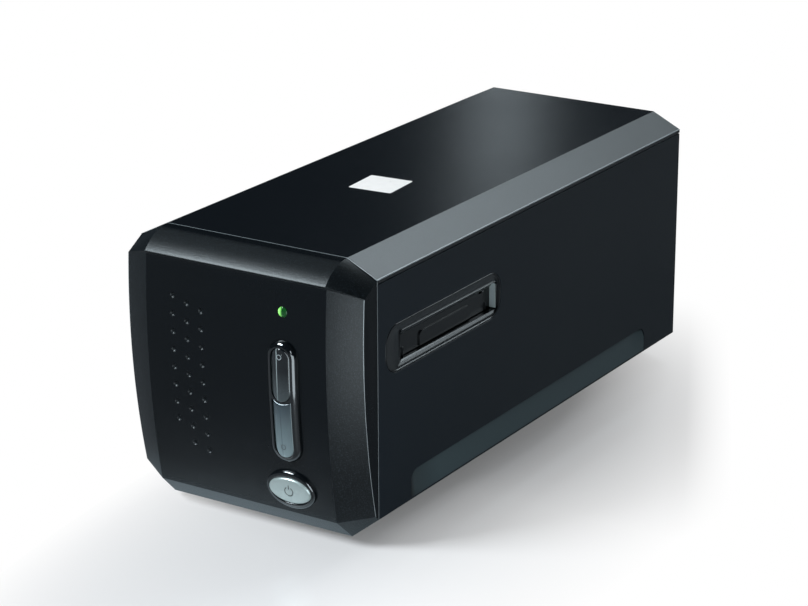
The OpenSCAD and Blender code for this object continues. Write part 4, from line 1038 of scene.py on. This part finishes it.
def floorMaterial():
    # the paper is white to the eye, and takes the shadow in a soft patch beside the casing
    made, start = newMaterial("floorPaper")
    plain = start.add("BsdfPrincipled", {}, {
        "Base Color": colour(*floor["colour"]), "Roughness": floor["rough"]})
    toCamera = start.add("LightPath", out="Is Camera Ray")
    toGloss = start.add("LightPath", out="Is Glossy Ray")
    through = start.add("LightPath", out="Is Transmission Ray")
    x, y, z = start.add("TexCoord", out="Object").split()
    # the floor shows dark in the glossy pieces, but for a strip under the front edge
    gleam = floorOval(x, y, floor["gleamAt"], floor["gleamSize"])
    dim = gleam.blend(colour(*floor["mirrored"]), colour(*floor["gleam"]))
    glow = start.add("Emission", {}, {"Color": toCamera.blend(dim, colour(1, 1, 1)), "Strength": 1.0})
    near = floorOval(x, y, shadow["at"], shadow["size"])
    turn = shadow["lineTurn"]
    beyond = ((turn[0] * x + turn[1] * y - shadow["line"]) / shadow["lineFade"]).clamped()
    behind = start.maths("MAXIMUM", y, shadow["rearFrom"])
    aside = (x - shadow["rightFrom"]) * shadow["rightFade"] + shadow["rearFade"] * behind * behind
    soft = near * (2 - near) * (1 - beyond) * (1 - aside.clamped())
    seen = 1 - soft * shadow["strength"]
    share = toCamera * seen + toGloss * floor["bounce"] + through * floor["bounce"]
    mix = start.add("MixShader", {}, {0: share, 1: plain, 2: glow})
    start.add("OutputMaterial", {}, {"Surface": mix})
    return made


def buildFloor():
    half = floor["size"] / 2 / mm
    points = [(-half, -half, 0), (half, -half, 0), (half, half, 0), (-half, half, 0)]
    mesh = meshOf("floor", points, [(0, 1, 2, 3)])
    mesh.materials.append(floorMaterial())
    objectOf("floor", mesh)


lampColour = (0.86, 0.99, 1.06)
# each lamp: where it stands, what it looks at, its width and height, and its strength
lamps = {
    "chamferPanel": {"at": (-0.10, 1.28, 1.35), "aim": (0.03, 0.0, 0.11), "size": (0.7, 0.7), "watts": 11},
    "backPanel": {"at": (0.55, 1.28, 0.85), "aim": (0.05, -0.05, 0.09), "size": (0.45, 0.6), "watts": 6},
    "edgePanel": {"at": (0.85, 1.15, 0.40), "aim": (0.05, 0.0, 0.08), "size": (0.5, 0.4), "watts": 2.2},
    "roofStrip": {"at": (-0.76, 1.38, 0.53), "aim": (-0.02, 0.06, 0.118), "size": (0.07, 0.35),
                  "watts": 0.08},
    "overheadPanel": {"at": (-0.80, 0.15, 1.15), "aim": (0.0, -0.05, 0.11), "size": (0.8, 0.8), "watts": 0.8},
    "rollPanel": {"at": (-0.73, -0.92, 0.99), "aim": (0.0, -0.13, 0.11), "size": (0.55, 0.45), "watts": 36},
    "cameraPanel": {"at": (0.72, -1.10, 0.62), "aim": (0.03, -0.10, 0.06), "size": (0.1, 0.3), "watts": 1.5},
    "facetPanel": {"at": (0.57, -1.52, 0.21), "aim": (0.05, -0.13, 0.06), "size": (0.4, 0.3), "watts": 0.6},
    "floorCard": {"at": (0.12, -0.24, 0.012), "aim": (0.03, -0.12, 0.06), "size": (0.12, 0.2), "watts": 0.35},
}


def buildLamps():
    for name, spec in lamps.items():
        data = bpy.data.lights.new(name, "AREA")
        data.shape = "RECTANGLE"
        data.size, data.size_y = spec["size"]
        data.energy = spec["watts"]
        data.color = lampColour
        lamp = objectOf(name, data)
        lamp.location = spec["at"]
        lamp.visible_camera = False
        back = Vector(spec["at"]) - Vector(spec["aim"])
        lamp.rotation_euler = back.to_track_quat("Z", "Y").to_euler()


roomColour = (0.015, 0.019, 0.024)


def buildWorld():
    # white to the eye, and a dark room to the object
    world = bpy.data.worlds.new("studio")
    bpy.context.scene.world = world
    world.use_nodes = True
    world.node_tree.nodes.clear()
    start = Shade(world.node_tree)
    tint = start.add("LightPath", out="Is Camera Ray").blend(colour(*roomColour), colour(1, 1, 1))
    back = start.add("Background", {}, {"Color": tint, "Strength": 1.0})
    start.add("OutputWorld", {}, {"Surface": back})


camera = {
    "lens": 113.096, "sensor": 36, "at": (0.555561, -0.884976, 0.420132), "turn": (70.8518, 0.2038, 32.3731),
}


def buildCamera():
    data = bpy.data.cameras.new("camera")
    data.lens = camera["lens"]
    data.sensor_width = camera["sensor"]
    eye = objectOf("camera", data)
    eye.location = camera["at"]
    eye.rotation_euler = [math.radians(a) for a in camera["turn"]]
    bpy.context.scene.camera = eye


buildFloor()
buildLamps()
buildWorld()
buildCamera()
bpy.context.scene.view_settings.view_transform = "Standard"
print("floor, lamps, room and camera set")
